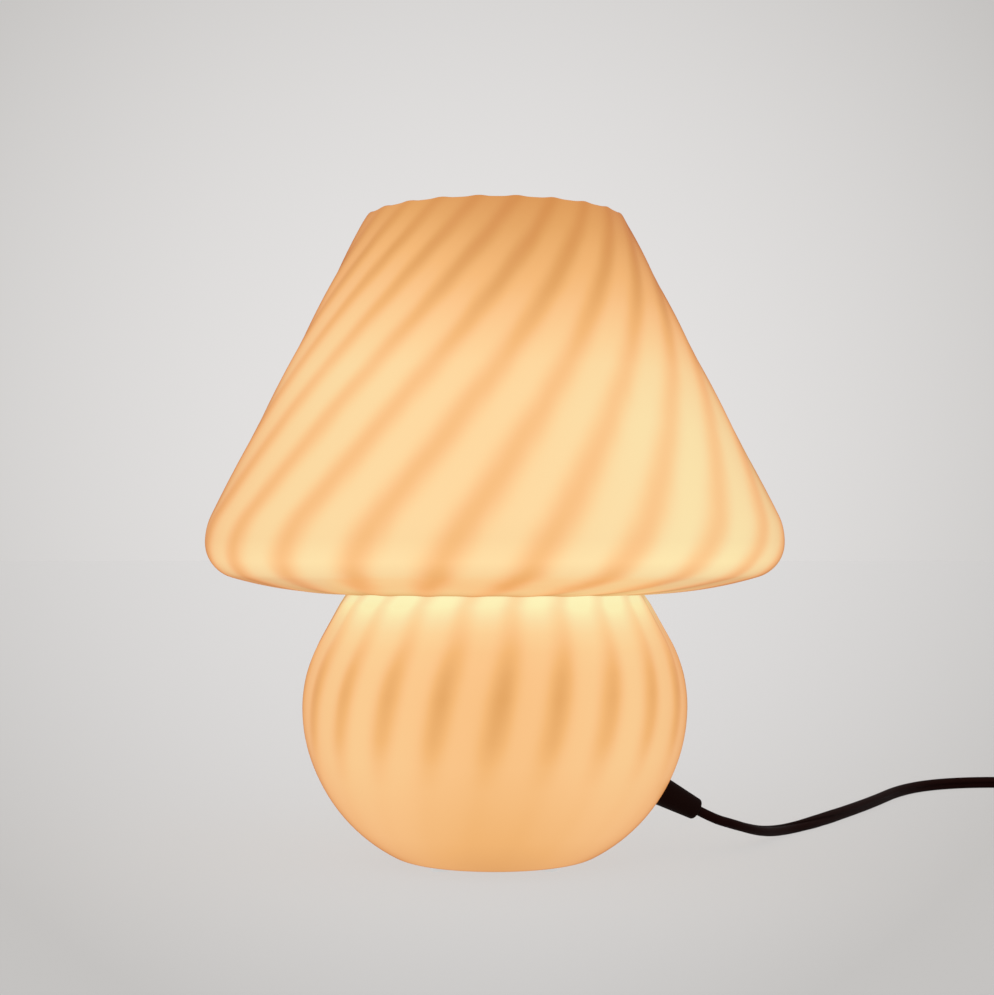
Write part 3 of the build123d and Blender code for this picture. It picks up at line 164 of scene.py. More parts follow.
def add_piece(name: str, mesh: bpy.types.Mesh, body: Body) -> bpy.types.Object:
    """Adds a piece with its place in its mesh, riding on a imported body.

    Args:
        name: Name of the piece.
        mesh: Its mesh, in metres, in the shared frame.
        body: The body that it moves with.

    Returns:
        The new object.
    """
    piece = bpy.data.objects.new(name, mesh)
    bpy.context.scene.collection.objects.link(piece)
    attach(piece, body.value)
    return piece


# ---------------------------------------------------------------- finishes


@dataclass(frozen=True)
class LitOpalGlass:
    """Blown amber-white opal glass, fire-polished and lit from inside.

    It gives the eye an evenly milky wall that glows of itself, palest round the bulb and amber
    towards the rim, with soft darker stripes that swirl with the ribs. Its light is set by height
    and by the way round the lamp until the front looked like the photograph, and not worked out
    from the bulb.
    """

    # The glass with its bulb off, and the share of the studio's light that it sends back.
    unlit: str = "5A432F"
    studio_share: float = 0.85
    roughness: float = 0.35
    ior: float = 1.5
    specular: float = 0.1
    stripe_sharpness: float = 1.8
    inside: str = "FFE0A8"
    # A coat that hardly bends light takes more of it at a slant, so that the rounded edges look
    # darker and more amber.
    edge_tint: tuple = (0.966, 0.938, 0.915)
    edge_bend: float = 1.0015
    # The shade is brighter on one side: to the right low down and to the left high up. The side
    # is at these angles in degrees, and turns between these shares of the height.
    side_low: float = -50.0
    side_high: float = -130.0
    side_turns: tuple = (0.65, 0.85)
    side_gain: float = 0.115
    side_level: float = 0.68
    # The shares of the height over which that light sets in, from the globe to the shade.
    shade_starts: tuple = (0.4, 0.5)
    # The glass is also a little brighter half-way between its front, back and sides.
    quarters: int = 4
    quarter_gain: float = 0.055
    quarter_level: float = 0.35
    # Waves in the blown wall, drawn out upwards, in millimetres. They bend the stripes by at
    # most this many radians, where a whole turn is from one rib to the next.
    wave_width: float = 9.09
    wave_length: float = 62.5
    wave_bend: float = 0.25
    # A ramp holds no more than one, so a strength goes through it divided by this.
    strength_scale: float = 2.0

    def warmth(self) -> list[tuple[float, str]]:
        """Says what colour the glass has in each light.

        Returns:
            The light, from none to the most, and the colour seen.
        """
        return [
            (0.0, "D69150"),
            (0.23, "E5A764"),
            (0.42, "F5BA78"),
            (0.54, "FBC68A"),
            (0.68, "FDD49A"),
            (0.82, "FCE1AA"),
            (1.0, "FDF3BA"),
        ]

    def light_by_height(self) -> list[tuple[float, float, float, float]]:
        """Says how the light changes with the height.

        The glass is brightest in the neck, round the bulb, and least bright at the rim. The ribs
        are darkest half-way up the globe and low on the shade, and hardly show at the foot. Round
        the shade's underside the glass shines a little more strongly.

        Returns:
            Height over the foot in mm, light between ribs, what a rib takes off, and strength.
        """
        return [
            (2.0, 0.36, 0.0, 0.98),
            (12.0, 0.45, 0.01, 1.0),
            (30.0, 0.52, 0.02, 1.0),
            (38.0, 0.55, 0.09, 1.0),
            (46.0, 0.55, 0.20, 1.0),
            (60.0, 0.55, 0.28, 1.0),
            (67.0, 0.56, 0.25, 1.0),
            (74.0, 0.60, 0.17, 1.0),
            (80.0, 0.69, 0.13, 1.0),
            (84.0, 0.81, 0.15, 1.0),
            (88.5, 1.0, 0.22, 1.0),
            (91.4, 1.0, 0.23, 1.05),
            (92.6, 0.88, 0.21, 1.08),
            (95.0, 0.73, 0.30, 1.01),
            (97.0, 0.74, 0.33, 1.0),
            (99.0, 0.76, 0.34, 1.02),
            (103.0, 0.80, 0.30, 1.06),
            (110.0, 0.76, 0.28, 1.0),
            (145.0, 0.75, 0.24, 1.0),
            (165.0, 0.70, 0.22, 1.0),
            (185.0, 0.53, 0.23, 1.0),
            (205.0, 0.33, 0.22, 1.0),
            (213.0, 0.23, 0.16, 1.0),
            (221.0, 0.12, 0.11, 1.0),
        ]

    def material(self) -> bpy.types.Material:
        """Builds the material from the height, the ribs' swirl and which skin it is.

        Returns:
            The material.
        """
        material, tree = new_material("lit_opal_glass")
        place = add_node(tree, "ShaderNodeTexCoord").outputs["Object"]
        parts = add_node(tree, "ShaderNodeSeparateXYZ", {0: place}).outputs
        foot = FOOT_LIFT * MM
        height = add_node(
            tree,
            "ShaderNodeMapRange",
            {"Value": parts["Z"], "From Min": foot, "From Max": foot + RIM_HEIGHT * MM},
        ).outputs[0]
        around = add_node(
            tree, "ShaderNodeMath", {0: parts["Y"], 1: parts["X"]}, operation="ARCTAN2"
        ).outputs[0]
        stripe = self.stripes(tree, place, around)
        levels = add_node(tree, "ShaderNodeValToRGB", {0: height})
        fill_ramp(
            levels.color_ramp,
            [
                (up / RIM_HEIGHT, (between, taken, strength / self.strength_scale, 1.0))
                for up, between, taken, strength in self.light_by_height()
            ],
        )
        light, depth, strength = add_node(
            tree, "ShaderNodeSeparateColor", {0: levels.outputs[0]}
        ).outputs
        taken = add_node(
            tree, "ShaderNodeMath", {0: stripe, 1: depth}, operation="MULTIPLY"
        ).outputs[0]
        even = add_node(
            tree, "ShaderNodeMath", {0: light, 1: taken}, operation="SUBTRACT"
        ).outputs[0]
        paler = self.uneven_light(tree, height, around)
        amount = add_node(tree, "ShaderNodeMath", {0: even, 1: paler}, operation="ADD").outputs[0]
        glow = add_node(tree, "ShaderNodeValToRGB", {0: amount})
        fill_ramp(glow.color_ramp, [(at, self.emitted(colour)) for at, colour in self.warmth()])
        inner = add_node(tree, "ShaderNodeAttribute", attribute_name="inner").outputs["Fac"]
        lit = add_node(
            tree,
            "ShaderNodeMix",
            {"Factor": inner, 6: glow.outputs[0], 7: linear(self.inside)},
            data_type="RGBA",
        ).outputs[2]
        whole = add_node(
            tree, "ShaderNodeMath", {0: strength, 1: self.strength_scale}, operation="MULTIPLY"
        )
        shader = add_node(
            tree,
            "ShaderNodeBsdfPrincipled",
            {
                "Base Color": linear(self.unlit),
                "Roughness": self.roughness,
                "IOR": self.ior,
                "Specular IOR Level": self.specular,
                "Coat Weight": 1.0,
                "Coat Roughness": self.roughness,
                "Coat IOR": self.edge_bend,
                "Coat Tint": (*self.edge_tint, 1.0),
                "Emission Color": lit,
                "Emission Strength": whole.outputs[0],
            },
        )
        add_node(tree, "ShaderNodeOutputMaterial", {"Surface": shader.outputs[0]})
        return material

    def stripes(
        self, tree: bpy.types.NodeTree, place: bpy.types.NodeSocket, around: bpy.types.NodeSocket
    ) -> bpy.types.NodeSocket:
        """Adds the soft stripes that run along the ribs.

        Args:
            tree: The tree that gets the nodes.
            place: Object coordinates.
            around: The angle round the lamp's axis.

        Returns:
            One on the crest of a rib and zero between two.
        """
        swirl = add_node(tree, "ShaderNodeAttribute", attribute_name="swirl").outputs["Fac"]
        off_rib = add_node(tree, "ShaderNodeMath", {0: around, 1: swirl}, operation="SUBTRACT")
        phase = add_node(
            tree,
            "ShaderNodeMath",
            {0: off_rib.outputs[0], 1: float(RIB_COUNT)},
            operation="MULTIPLY",
        )
        narrow, tall = 1 / (self.wave_width * MM), 1 / (self.wave_length * MM)
        stretched = add_node(
            tree, "ShaderNodeMapping", {"Vector": place, "Scale": (narrow, narrow, tall)}
        )
        wave = add_node(
            tree,
            "ShaderNodeTexNoise",
            {"Vector": stretched.outputs[0], "Scale": 1.0, "Detail": 1.0, "Roughness": 0.5},
        ).outputs[0]
        wander = add_node(
            tree,
            "ShaderNodeMapRange",
            {"Value": wave, "To Min": -self.wave_bend, "To Max": self.wave_bend},
        ).outputs[0]
        bent = add_node(tree, "ShaderNodeMath", {0: phase.outputs[0], 1: wander}, operation="ADD")
        crest = add_node(
            tree, "ShaderNodeMath", {0: bent.outputs[0]}, operation="COSINE"
        ).outputs[0]
        swell = add_node(tree, "ShaderNodeMapRange", {"Value": crest, "From Min": -1.0}).outputs[0]
        return add_node(
            tree, "ShaderNodeMath", {0: swell, 1: self.stripe_sharpness}, operation="POWER"
        ).outputs[0]

    def uneven_light(
        self, tree: bpy.types.NodeTree, height: bpy.types.NodeSocket, around: bpy.types.NodeSocket
    ) -> bpy.types.NodeSocket:
        """Adds the slow changes of the light round the lamp.

        Args:
            tree: The tree that gets the nodes.
            height: From zero at the foot to one at the rim.
            around: The angle round the lamp's axis.

        Returns:
            What is added to the light, below zero where the glass is darker.
        """
        side = add_node(
            tree,
            "ShaderNodeMapRange",
            {
                "Value": height,
                "From Min": self.side_turns[0],
                "From Max": self.side_turns[1],
                "To Min": math.radians(self.side_low),
                "To Max": math.radians(self.side_high),
            },
        ).outputs[0]
        off_side = add_node(tree, "ShaderNodeMath", {0: around, 1: side}, operation="SUBTRACT")
        facing = add_node(tree, "ShaderNodeMath", {0: off_side.outputs[0]}, operation="COSINE")
        raised = add_node(
            tree, "ShaderNodeMath", {0: facing.outputs[0], 1: self.side_level}, operation="SUBTRACT"
        )
        first, full = self.shade_starts
        on_shade = add_node(
            tree, "ShaderNodeMapRange", {"Value": height, "From Min": first, "From Max": full}
        ).outputs[0]
        share = add_node(
            tree, "ShaderNodeMath", {0: on_shade, 1: self.side_gain}, operation="MULTIPLY"
        ).outputs[0]
        one_side = add_node(
            tree, "ShaderNodeMath", {0: raised.outputs[0], 1: share}, operation="MULTIPLY"
        )
        turns = add_node(
            tree, "ShaderNodeMath", {0: around, 1: float(self.quarters)}, operation="MULTIPLY"
        )
        wave = add_node(
            tree, "ShaderNodeMath", {0: turns.outputs[0]}, operation="COSINE"
        ).outputs[0]
        between = add_node(
            tree,
            "ShaderNodeMath",
            {0: wave, 1: -self.quarter_gain, 2: self.quarter_level * self.quarter_gain},
            operation="MULTIPLY_ADD",
        )
        return add_node(
            tree, "ShaderNodeMath", {0: one_side.outputs[0], 1: between.outputs[0]}, operation="ADD"
        ).outputs[0]

    def emitted(self, colour: str) -> tuple[float, float, float, float]:
        """The light that makes the glass look a colour, beside the studio light it sends back."""
        parts = zip(linear(colour)[:3], self.edge_tint, linear(self.unlit)[:3])
        return (*(max(0.0, seen / t - self.studio_share * own) for seen, t, own in parts), 1.0)


@dataclass(frozen=True)
class PlainFinish:
    """A moulded, turned or plated finish.

    It gives the eye one colour with a slight mottle, an uneven shine and a fine relief. The grain
    is in millimetres, coarser than the real one, which is too fine to show.
    """

    name: str
    colour: str
    roughness: float
    metallic: float = 0.0
    specular: float = 0.5
    mottle: float = 0.08
    grain: float = 0.6
    relief: float = 0.02
    coat: float = 0.0
    glow: str = ""
    glow_strength: float = 0.0
    broad: float = 9.0
    uneven: float = 0.15

    def material(self) -> bpy.types.Material:
        """Builds the material.

        Returns:
            The material.
        """
        material, tree = new_material(self.name)
        place = add_node(tree, "ShaderNodeTexCoord").outputs["Object"]
        noise = add_node(
            tree,
            "ShaderNodeTexNoise",
            {"Vector": place, "Scale": 1 / (self.grain * MM), "Detail": 3.0, "Roughness": 0.55},
        ).outputs[0]
        broad = add_node(
            tree,
            "ShaderNodeTexNoise",
            {"Vector": place, "Scale": 1 / (self.broad * self.grain * MM), "Detail": 2.0},
        ).outputs[0]
        colour = linear(self.colour)
        worn = tuple(c * (1 - self.mottle) for c in colour[:3]) + (1.0,)
        fresh = tuple(min(1.0, c * (1 + self.mottle)) for c in colour[:3]) + (1.0,)
        tint = add_node(
            tree, "ShaderNodeMix", {"Factor": broad, 6: worn, 7: fresh}, data_type="RGBA"
        ).outputs[2]
        dullest = min(1.0, self.roughness * (1 + self.uneven))
        rough = add_node(
            tree,
            "ShaderNodeMapRange",
            {"Value": noise, "To Min": self.roughness * (1 - self.uneven), "To Max": dullest},
        ).outputs[0]
        bump = add_node(
            tree,
            "ShaderNodeBump",
            {"Height": noise, "Strength": 0.5, "Distance": self.relief * MM},
        ).outputs[0]
        values = {
            "Base Color": tint,
            "Roughness": rough,
            "Metallic": self.metallic,
            "Specular IOR Level": self.specular,
            "Coat Weight": self.coat,
            "Normal": bump,
        }
        if self.glow:
            values["Emission Color"] = linear(self.glow)
            values["Emission Strength"] = self.glow_strength
        shader = add_node(tree, "ShaderNodeBsdfPrincipled", values)
        add_node(tree, "ShaderNodeOutputMaterial", {"Surface": shader.outputs[0]})
        return material


@dataclass(frozen=True)
class PaleStudio:
    """Pale paper, seen by the camera, mirrors and clear glass.

    It gives the eye a light grey with a painted pool of light: palest in one direction, behind the
    lamp, and darkening evenly all round it. The floor shows the same through itself, under a share
    of the shadow.
    """

    # The painted pool of light's palest middle and its darker outside.
    middle: str = "E4E2E1"
    outside: str = "C4C2C0"
    # The palest direction, the middle of the painted pool of light, and how far under one a
    # direction's cosine with it lies where the painted light starts to fall off and the paper to
    # darken, and where it ends.
    aim: tuple = (-0.0079, 0.9978, 0.066)
    first_fade: float = 0.003
    last_fade: float = 0.058
    # The floor's own tone, and the share of the backdrop that shows through it.
    paper: str = "CCCBCC"
    plain_share: float = 0.88

    def fade(self, tree: bpy.types.NodeTree, way: bpy.types.NodeSocket) -> bpy.types.NodeSocket:
        """Paints the pool of light: colours a direction by how far it turns from the brightest one.

        Args:
            tree: The tree that gets the nodes.
            way: A direction of length one.

        Returns:
            The colour.
        """
        along = add_node(
            tree, "ShaderNodeVectorMath", {0: way, 1: self.aim}, operation="DOT_PRODUCT"
        ).outputs["Value"]
        share = add_node(
            tree,
            "ShaderNodeMapRange",
            {"Value": along, "From Min": 1 - self.first_fade, "From Max": 1 - self.last_fade},
        ).outputs[0]
        return add_node(
            tree,
            "ShaderNodeMix",
            {"Factor": share, 6: linear(self.middle), 7: linear(self.outside)},
            data_type="RGBA",
        ).outputs[2]

    def shown(self, tree: bpy.types.NodeTree) -> bpy.types.NodeSocket:
        """Tells what is looked at from what only lights.

        Args:
            tree: The tree that gets the nodes.

        Returns:
            One for what the camera, a mirror or clear glass looks at, and zero for lighting.
        """
        rays = add_node(tree, "ShaderNodeLightPath").outputs
        seen = add_node(
            tree,
            "ShaderNodeMath",
            {0: rays["Is Camera Ray"], 1: rays["Is Glossy Ray"]},
            operation="ADD",
        )
        return add_node(
            tree,
            "ShaderNodeMath",
            {0: seen.outputs[0], 1: rays["Is Transmission Ray"]},
            operation="ADD",
            use_clamp=True,
        ).outputs[0]

    def floor(self) -> bpy.types.Material:
        """Builds the floor's paper, through which the backdrop goes on.

        Returns:
            The material.
        """
        material, tree = new_material("pale_paper_sweep")
        paper = add_node(
            tree, "ShaderNodeBsdfDiffuse", {"Color": linear(self.paper), "Roughness": 0.5}
        )
        backdrop = add_node(tree, "ShaderNodeBsdfTransparent")
        share = add_node(
            tree, "ShaderNodeMath", {0: self.shown(tree), 1: self.plain_share}, operation="MULTIPLY"
        )
        both = add_node(
            tree,
            "ShaderNodeMixShader",
            {0: share.outputs[0], 1: paper.outputs[0], 2: backdrop.outputs[0]},
        )
        add_node(tree, "ShaderNodeOutputMaterial", {"Surface": both.outputs[0]})
        return material


# ---------------------------------------------------------------- studio


@dataclass
class Studio:
    """The camera at the photograph's viewpoint, a pale floor and soft white light."""

    # Metres, the lens in millimetres and the sun in degrees. The shifts are shares of the picture.
    camera_distance: float = 0.652
    camera_height: float = 0.107
    lens: float = 67.80
    shift_x: float = 2.2 / PHOTO_PIXELS
    shift_y: float = 56.5 / PHOTO_PIXELS
    floor_radius: float = 30.0
    sky_strength: float = 0.62
    sun_share: float = 0.38
    sun_height: float = 52.0
    sun_side: float = 20.0
    sun_width: float = 70.0

    def make_camera(self) -> None:
        """Adds the camera, level, looking along +Y."""
        lens = bpy.data.cameras.new("viewpoint")
        lens.lens = self.lens
        lens.sensor_width = 36.0
        lens.shift_x = self.shift_x
        lens.shift_y = self.shift_y
        lens.clip_start = 0.01
        lens.clip_end = 200.0
        camera = bpy.data.objects.new("viewpoint", lens)
        camera.location = (0.0, -self.camera_distance, self.camera_height)
        camera.rotation_euler = (math.radians(90), 0.0, 0.0)
        bpy.context.scene.collection.objects.link(camera)
        bpy.context.scene.camera = camera

    def make_floor(self) -> None:
        """Adds the floor as a wide disc."""
        bm = bmesh.new()
        bmesh.ops.create_circle(bm, cap_ends=True, segments=96, radius=self.floor_radius)
        mesh = bpy.data.meshes.new("floor")
        bm.to_mesh(mesh)
        bm.free()
        floor = bpy.data.objects.new("floor", mesh)
        floor.data.materials.append(PaleStudio().floor())
        bpy.context.scene.collection.objects.link(floor)

    def make_light(self) -> None:
        """Adds an even white sky and one wide, soft sun from the front."""
        world = bpy.data.worlds.new("soft_studio")
        world.use_nodes = True
        tree = world.node_tree
        tree.nodes.clear()
        shown = PaleStudio().shown(tree)
        way = add_node(tree, "ShaderNodeTexCoord").outputs["Generated"]
        # The backdrop, with its painted pool of light, palest behind the lamp.
        backdrop = PaleStudio().fade(tree, way)
        plain = (self.sky_strength,) * 3 + (1.0,)
        colour = add_node(
            tree, "ShaderNodeMix", {"Factor": shown, 6: plain, 7: backdrop}, data_type="RGBA"
        ).outputs[2]
        background = add_node(tree, "ShaderNodeBackground", {"Color": colour, "Strength": 1.0})
        add_node(tree, "ShaderNodeOutputWorld", {"Surface": background.outputs[0]})
        bpy.context.scene.world = world
        sun = bpy.data.lights.new("front_light", "SUN")
        sun.energy = self.sun_share * math.pi
        sun.angle = math.radians(self.sun_width)
        lamp = bpy.data.objects.new("front_light", sun)
        down, aside = 90 - self.sun_height, -self.sun_side
        lamp.rotation_euler = (math.radians(down), 0.0, math.radians(aside))
        bpy.context.scene.collection.objects.link(lamp)

    def build(self) -> None:
        """Builds the whole studio."""
        bpy.context.scene.view_settings.view_transform = "Standard"
        self.make_camera()
        self.make_floor()
        self.make_light()


# ---------------------------------------------------------------- flex


@dataclass
class FlatFlex:
    """A flat twin flex: two sheathed cores side by side, lying as its weight and bends turn it."""

    name: str
    width: float = 5.0 * MM
    thickness: float = 3.4 * MM
    lobe_points: int = 9

    def section(self) -> bpy.types.Object:
        """Makes the flex's section, two round lobes with a shallow groove between.

        Returns:
            The section as a closed flat curve.
        """
        radius = self.thickness / 2
        centre = (self.width - self.thickness) / 2
        groove = math.degrees(math.acos(centre / radius))
        outline = []
        for side in (1, -1):
            for i in range(self.lobe_points):
                turn = math.radians(groove - 180 + (360 - 2 * groove) * i / (self.lobe_points - 1))
                across, up = centre + radius * math.cos(turn), radius * math.sin(turn)
                outline.append((side * across, side * up))
        curve = bpy.data.curves.new(self.name + "_section", "CURVE")
        curve.dimensions = "2D"
        spline = curve.splines.new("POLY")
        spline.points.add(len(outline) - 1)
        for point, (across, up) in zip(spline.points, outline):
            point.co = (across, up, 0.0, 1.0)
        spline.use_cyclic_u = True
        section = bpy.data.objects.new(curve.name, curve)
        bpy.context.scene.collection.objects.link(section)
        return section

    def lay(
        self, route: list[tuple[float, float, float, float]], finer: int
    ) -> tuple[bpy.types.Object, list]:
        """Lays the flex along its route.

        Args:
            route: Points (x, y, z) in millimetres and the flex's turn about its line in radians.
            finer: Steps of the smooth line between two points of the route.

        Returns:
            The flex as a piece, and the points of its line in metres.
        """
        curve = bpy.data.curves.new(self.name + "_line", "CURVE")
        curve.dimensions = "3D"
        curve.twist_mode = "Z_UP"
        curve.resolution_u = finer
        spline = curve.splines.new("NURBS")
        spline.points.add(len(route) - 1)
        for point, (x, y, z, turn) in zip(spline.points, route):
            point.co = (x * MM, y * MM, z * MM, 1.0)
            point.tilt = turn
        spline.order_u = 3
        spline.use_endpoint_u = True
        line = bpy.data.objects.new(curve.name, curve)
        bpy.context.scene.collection.objects.link(line)
        bare = bpy.data.meshes.new_from_object(line)
        path = [tuple(v.co) for v in bare.vertices]
        section = self.section()
        curve.bevel_mode = "OBJECT"
        curve.bevel_object = section
        curve.use_fill_caps = True
        bpy.context.view_layer.update()
        laid = line.evaluated_get(bpy.context.evaluated_depsgraph_get())
        mesh = bpy.data.meshes.new_from_object(laid)
        mesh.name = self.name
        for old in (line, section):
            data = old.data
            bpy.data.objects.remove(old)
            bpy.data.curves.remove(data)
        bpy.data.meshes.remove(bare)
        for face in mesh.polygons:
            face.use_smooth = True
        return add_piece(self.name, mesh, Body.LAMP), path


@dataclass
class FlexRun:
    """The whole flex: strain relief to switch, then by way of a coil of spare flex to the plug."""

    # In millimetres. The heights are those of the flex's middle: on edge on the table, where it
    # enters the switch, and in the coil's two layers.
    edge: float = 2.55
    switch_x: float = 274.0
    switch_end: float = 6.0
    coil_x: float = 309.0
    coil_y: float = 38.0
    coil_reach: float = 34.8
    coil_step: float = 2.5
    coil_half_turns: int = 7
    coil_low: float = 3.3
    coil_high: float = 8.25
    points_per_half_turn: int = 6

    def lead_route(self) -> list[tuple[float, float, float, float]]:
        """Leads the flex from the strain relief to the switch, flat where it first lies down.

        Returns:
            Points (x, y, z) in millimetres and the flex's turn about its line in radians.
        """
        flat, edge = Lie.FLAT.value, Lie.EDGE.value
        return [
            (72.11, 15.33, 15.84, flat),
            (78.16, 16.61, 12.56, flat),
            (84.4, 20.1, 10.4, flat),
            (90.4, 26.5, 7.9, edge * 0.1),
            (97.0, 36.5, 5.3, edge * 0.2),
            (103.8, 49.8, 3.2, edge * 0.2),
            (112.0, 64.0, 1.95, edge * 0.15),
            (122.5, 76.5, 2.3, edge * 0.4),
            (139.5, 102.6, 2.6, edge),
            (159.5, 138.0, self.edge, edge),
            (179.0, 177.0, self.edge, edge),
            (200.0, 199.0, self.edge, edge),
            (226.0, 207.0, self.edge, edge),
            (250.5, 200.0, self.edge, edge),
            (267.0, 180.5, 2.8, edge * 0.8),
            (273.2, 163.0, 4.2, edge * 0.4),
            (self.switch_x, 150.8, self.switch_end, flat),
            (self.switch_x, 128.0, self.switch_end, flat),
        ]

    def coil_turns(self) -> list[tuple[float, float, float, float]]:
        """Winds the coil: in along the lower layer, up over half a turn, out along the upper.

        Returns:
            Points and turns, as those of the route to the switch.
        """
        outset = 1 / math.cos(math.pi / (2 * self.points_per_half_turn)) ** 2
        made, reach, side = [], self.coil_reach, 1
        total = 2 * self.coil_half_turns + 1
        for turn in range(total):
            if turn < self.coil_half_turns:
                after, low, high = reach - self.coil_step, self.coil_low, self.coil_low
            elif turn == self.coil_half_turns:
                after, low, high = reach - self.coil_step, self.coil_low, self.coil_high
            else:
                grow = 2 if turn == self.coil_half_turns + 1 else 1
                after, low, high = reach + grow * self.coil_step, self.coil_high, self.coil_high
            centre = self.coil_x + side * (after - reach) / 2
            radius = (reach + after) / 2
            for i in range(self.points_per_half_turn):
                share = (i + 0.5) / self.points_per_half_turn
                angle = math.pi * share
                x = centre - side * radius * outset * math.cos(angle)
                y = self.coil_y - side * radius * outset * math.sin(angle)
                made.append((x, y, low + (high - low) * share, Lie.EDGE.value))
            reach, side = after, -side
        return made

    def far_route(self) -> list[tuple[float, float, float, float]]:
        """Leads the flex from the switch through the coil to the plug.

        Returns:
            Points and turns, as those of the route to the switch.
        """
        flat, edge = Lie.FLAT.value, Lie.EDGE.value
        left = self.coil_x - self.coil_reach
        right = self.coil_x + self.coil_reach
        return [
            (self.switch_x, 96.0, self.switch_end, flat),
            (self.switch_x, 73.2, self.switch_end, edge * 0.4),
            (self.switch_x + 0.6, 62.0, 4.4, edge * 0.8),
            (left, 51.2, self.coil_low, edge),
            (left, 44.5, self.coil_low, edge),
            *self.coil_turns(),
            (right, 44.5, self.coil_high, edge),
            (right, 51.2, self.coil_high, edge),
            (343.5, 64.5, 7.9, edge * 0.8),
            (338.0, 78.5, 7.4, edge * 0.4),
            (329.0, 90.0, 7.0, flat),
            (326.0, 101.6, 6.85, flat),
            (326.0, 110.4, 6.85, flat),
        ]

    def build(self, nodes: dict) -> None:
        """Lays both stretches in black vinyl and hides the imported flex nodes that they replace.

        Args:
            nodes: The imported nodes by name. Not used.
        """
        # Extruded vinyl: nearly black and warm, with hardly any shine.
        vinyl = PlainFinish(
            "black_vinyl_sheath",
            "1C0A08",
            roughness=0.6,
            specular=0.02,
            mottle=0.15,
            grain=0.5,
            relief=0.01,
        ).material()
        lead, lead_path = FlatFlex("flex_to_switch").lay(self.lead_route(), finer=14)
        lead.data.materials.append(vinyl)
        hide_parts("flex_lead")
        spare, spare_path = FlatFlex("flex_to_plug").lay(self.far_route(), finer=5)
        spare.data.materials.append(vinyl)
        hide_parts("flex_link", "flex_coil", "flex_tail")
        leave = [c * MM for c in self.far_route()[0][:3]]

    @staticmethod
    def length(path: list[tuple]) -> float:
        """Gives a line's length in metres, to the nearest centimetre."""
        return round(sum((Vector(b) - Vector(a)).length for a, b in zip(path, path[1:])), 2)


# ---------------------------------------------------------------- glass


class OutlinePen:
    """Draws an outline in the plane of radius and height by spinning out one point."""

    def __init__(self, start: tuple[float, float]) -> None:
        """Starts the outline.

        Args:
            start: Its first radius and height in metres.
        """
        self.bm = bmesh.new()
        self.layers = {n: self.bm.verts.layers.float.new(n) for n in ("swirl", "relief", "inner")}
        self.points = [self.bm.verts.new((start[0], 0.0, start[1]))]

    def _step(self, centre: tuple, angle: float, move: tuple) -> None:
        """Adds one point by turning or moving the last one.

        Args:
            centre: The point (x, y, z) that it turns round.
            angle: How far it turns, in radians.
            move: How far it moves, as (x, y, z) in metres.
        """
        made = bmesh.ops.spin(
            self.bm,
            geom=[self.points[-1]],
            cent=centre,
            axis=(0.0, -1.0, 0.0),
            dvec=move,
            angle=angle,
            steps=1,
            use_duplicate=False,
        )
        self.points.append(made["geom_last"][0])

    def line(self, end: tuple[float, float], steps: int) -> None:
        """Goes straight, in equal steps.

        Args:
            end: The radius and height in metres where it ends.
            steps: How many steps it takes.
        """
        start = self.points[-1].co.copy()
        move = (Vector((end[0], 0.0, end[1])) - start) / steps
        for _ in range(steps):
            self._step((0.0, 0.0, 0.0), 0.0, tuple(move))

    def arc(self, centre: tuple[float, float], degrees: float, steps: int) -> None:
        """Goes round a centre.

        Args:
            centre: The centre's radius and height in metres.
            degrees: How far it goes round, counted from the radius towards the height.
            steps: How many steps it takes.
        """
        for _ in range(steps):
            self._step((centre[0], 0.0, centre[1]), math.radians(degrees) / steps, (0.0, 0.0, 0.0))

    def close(self) -> None:
        """Joins the last point to the first."""
        self.bm.edges.new((self.points[-1], self.points[0]))


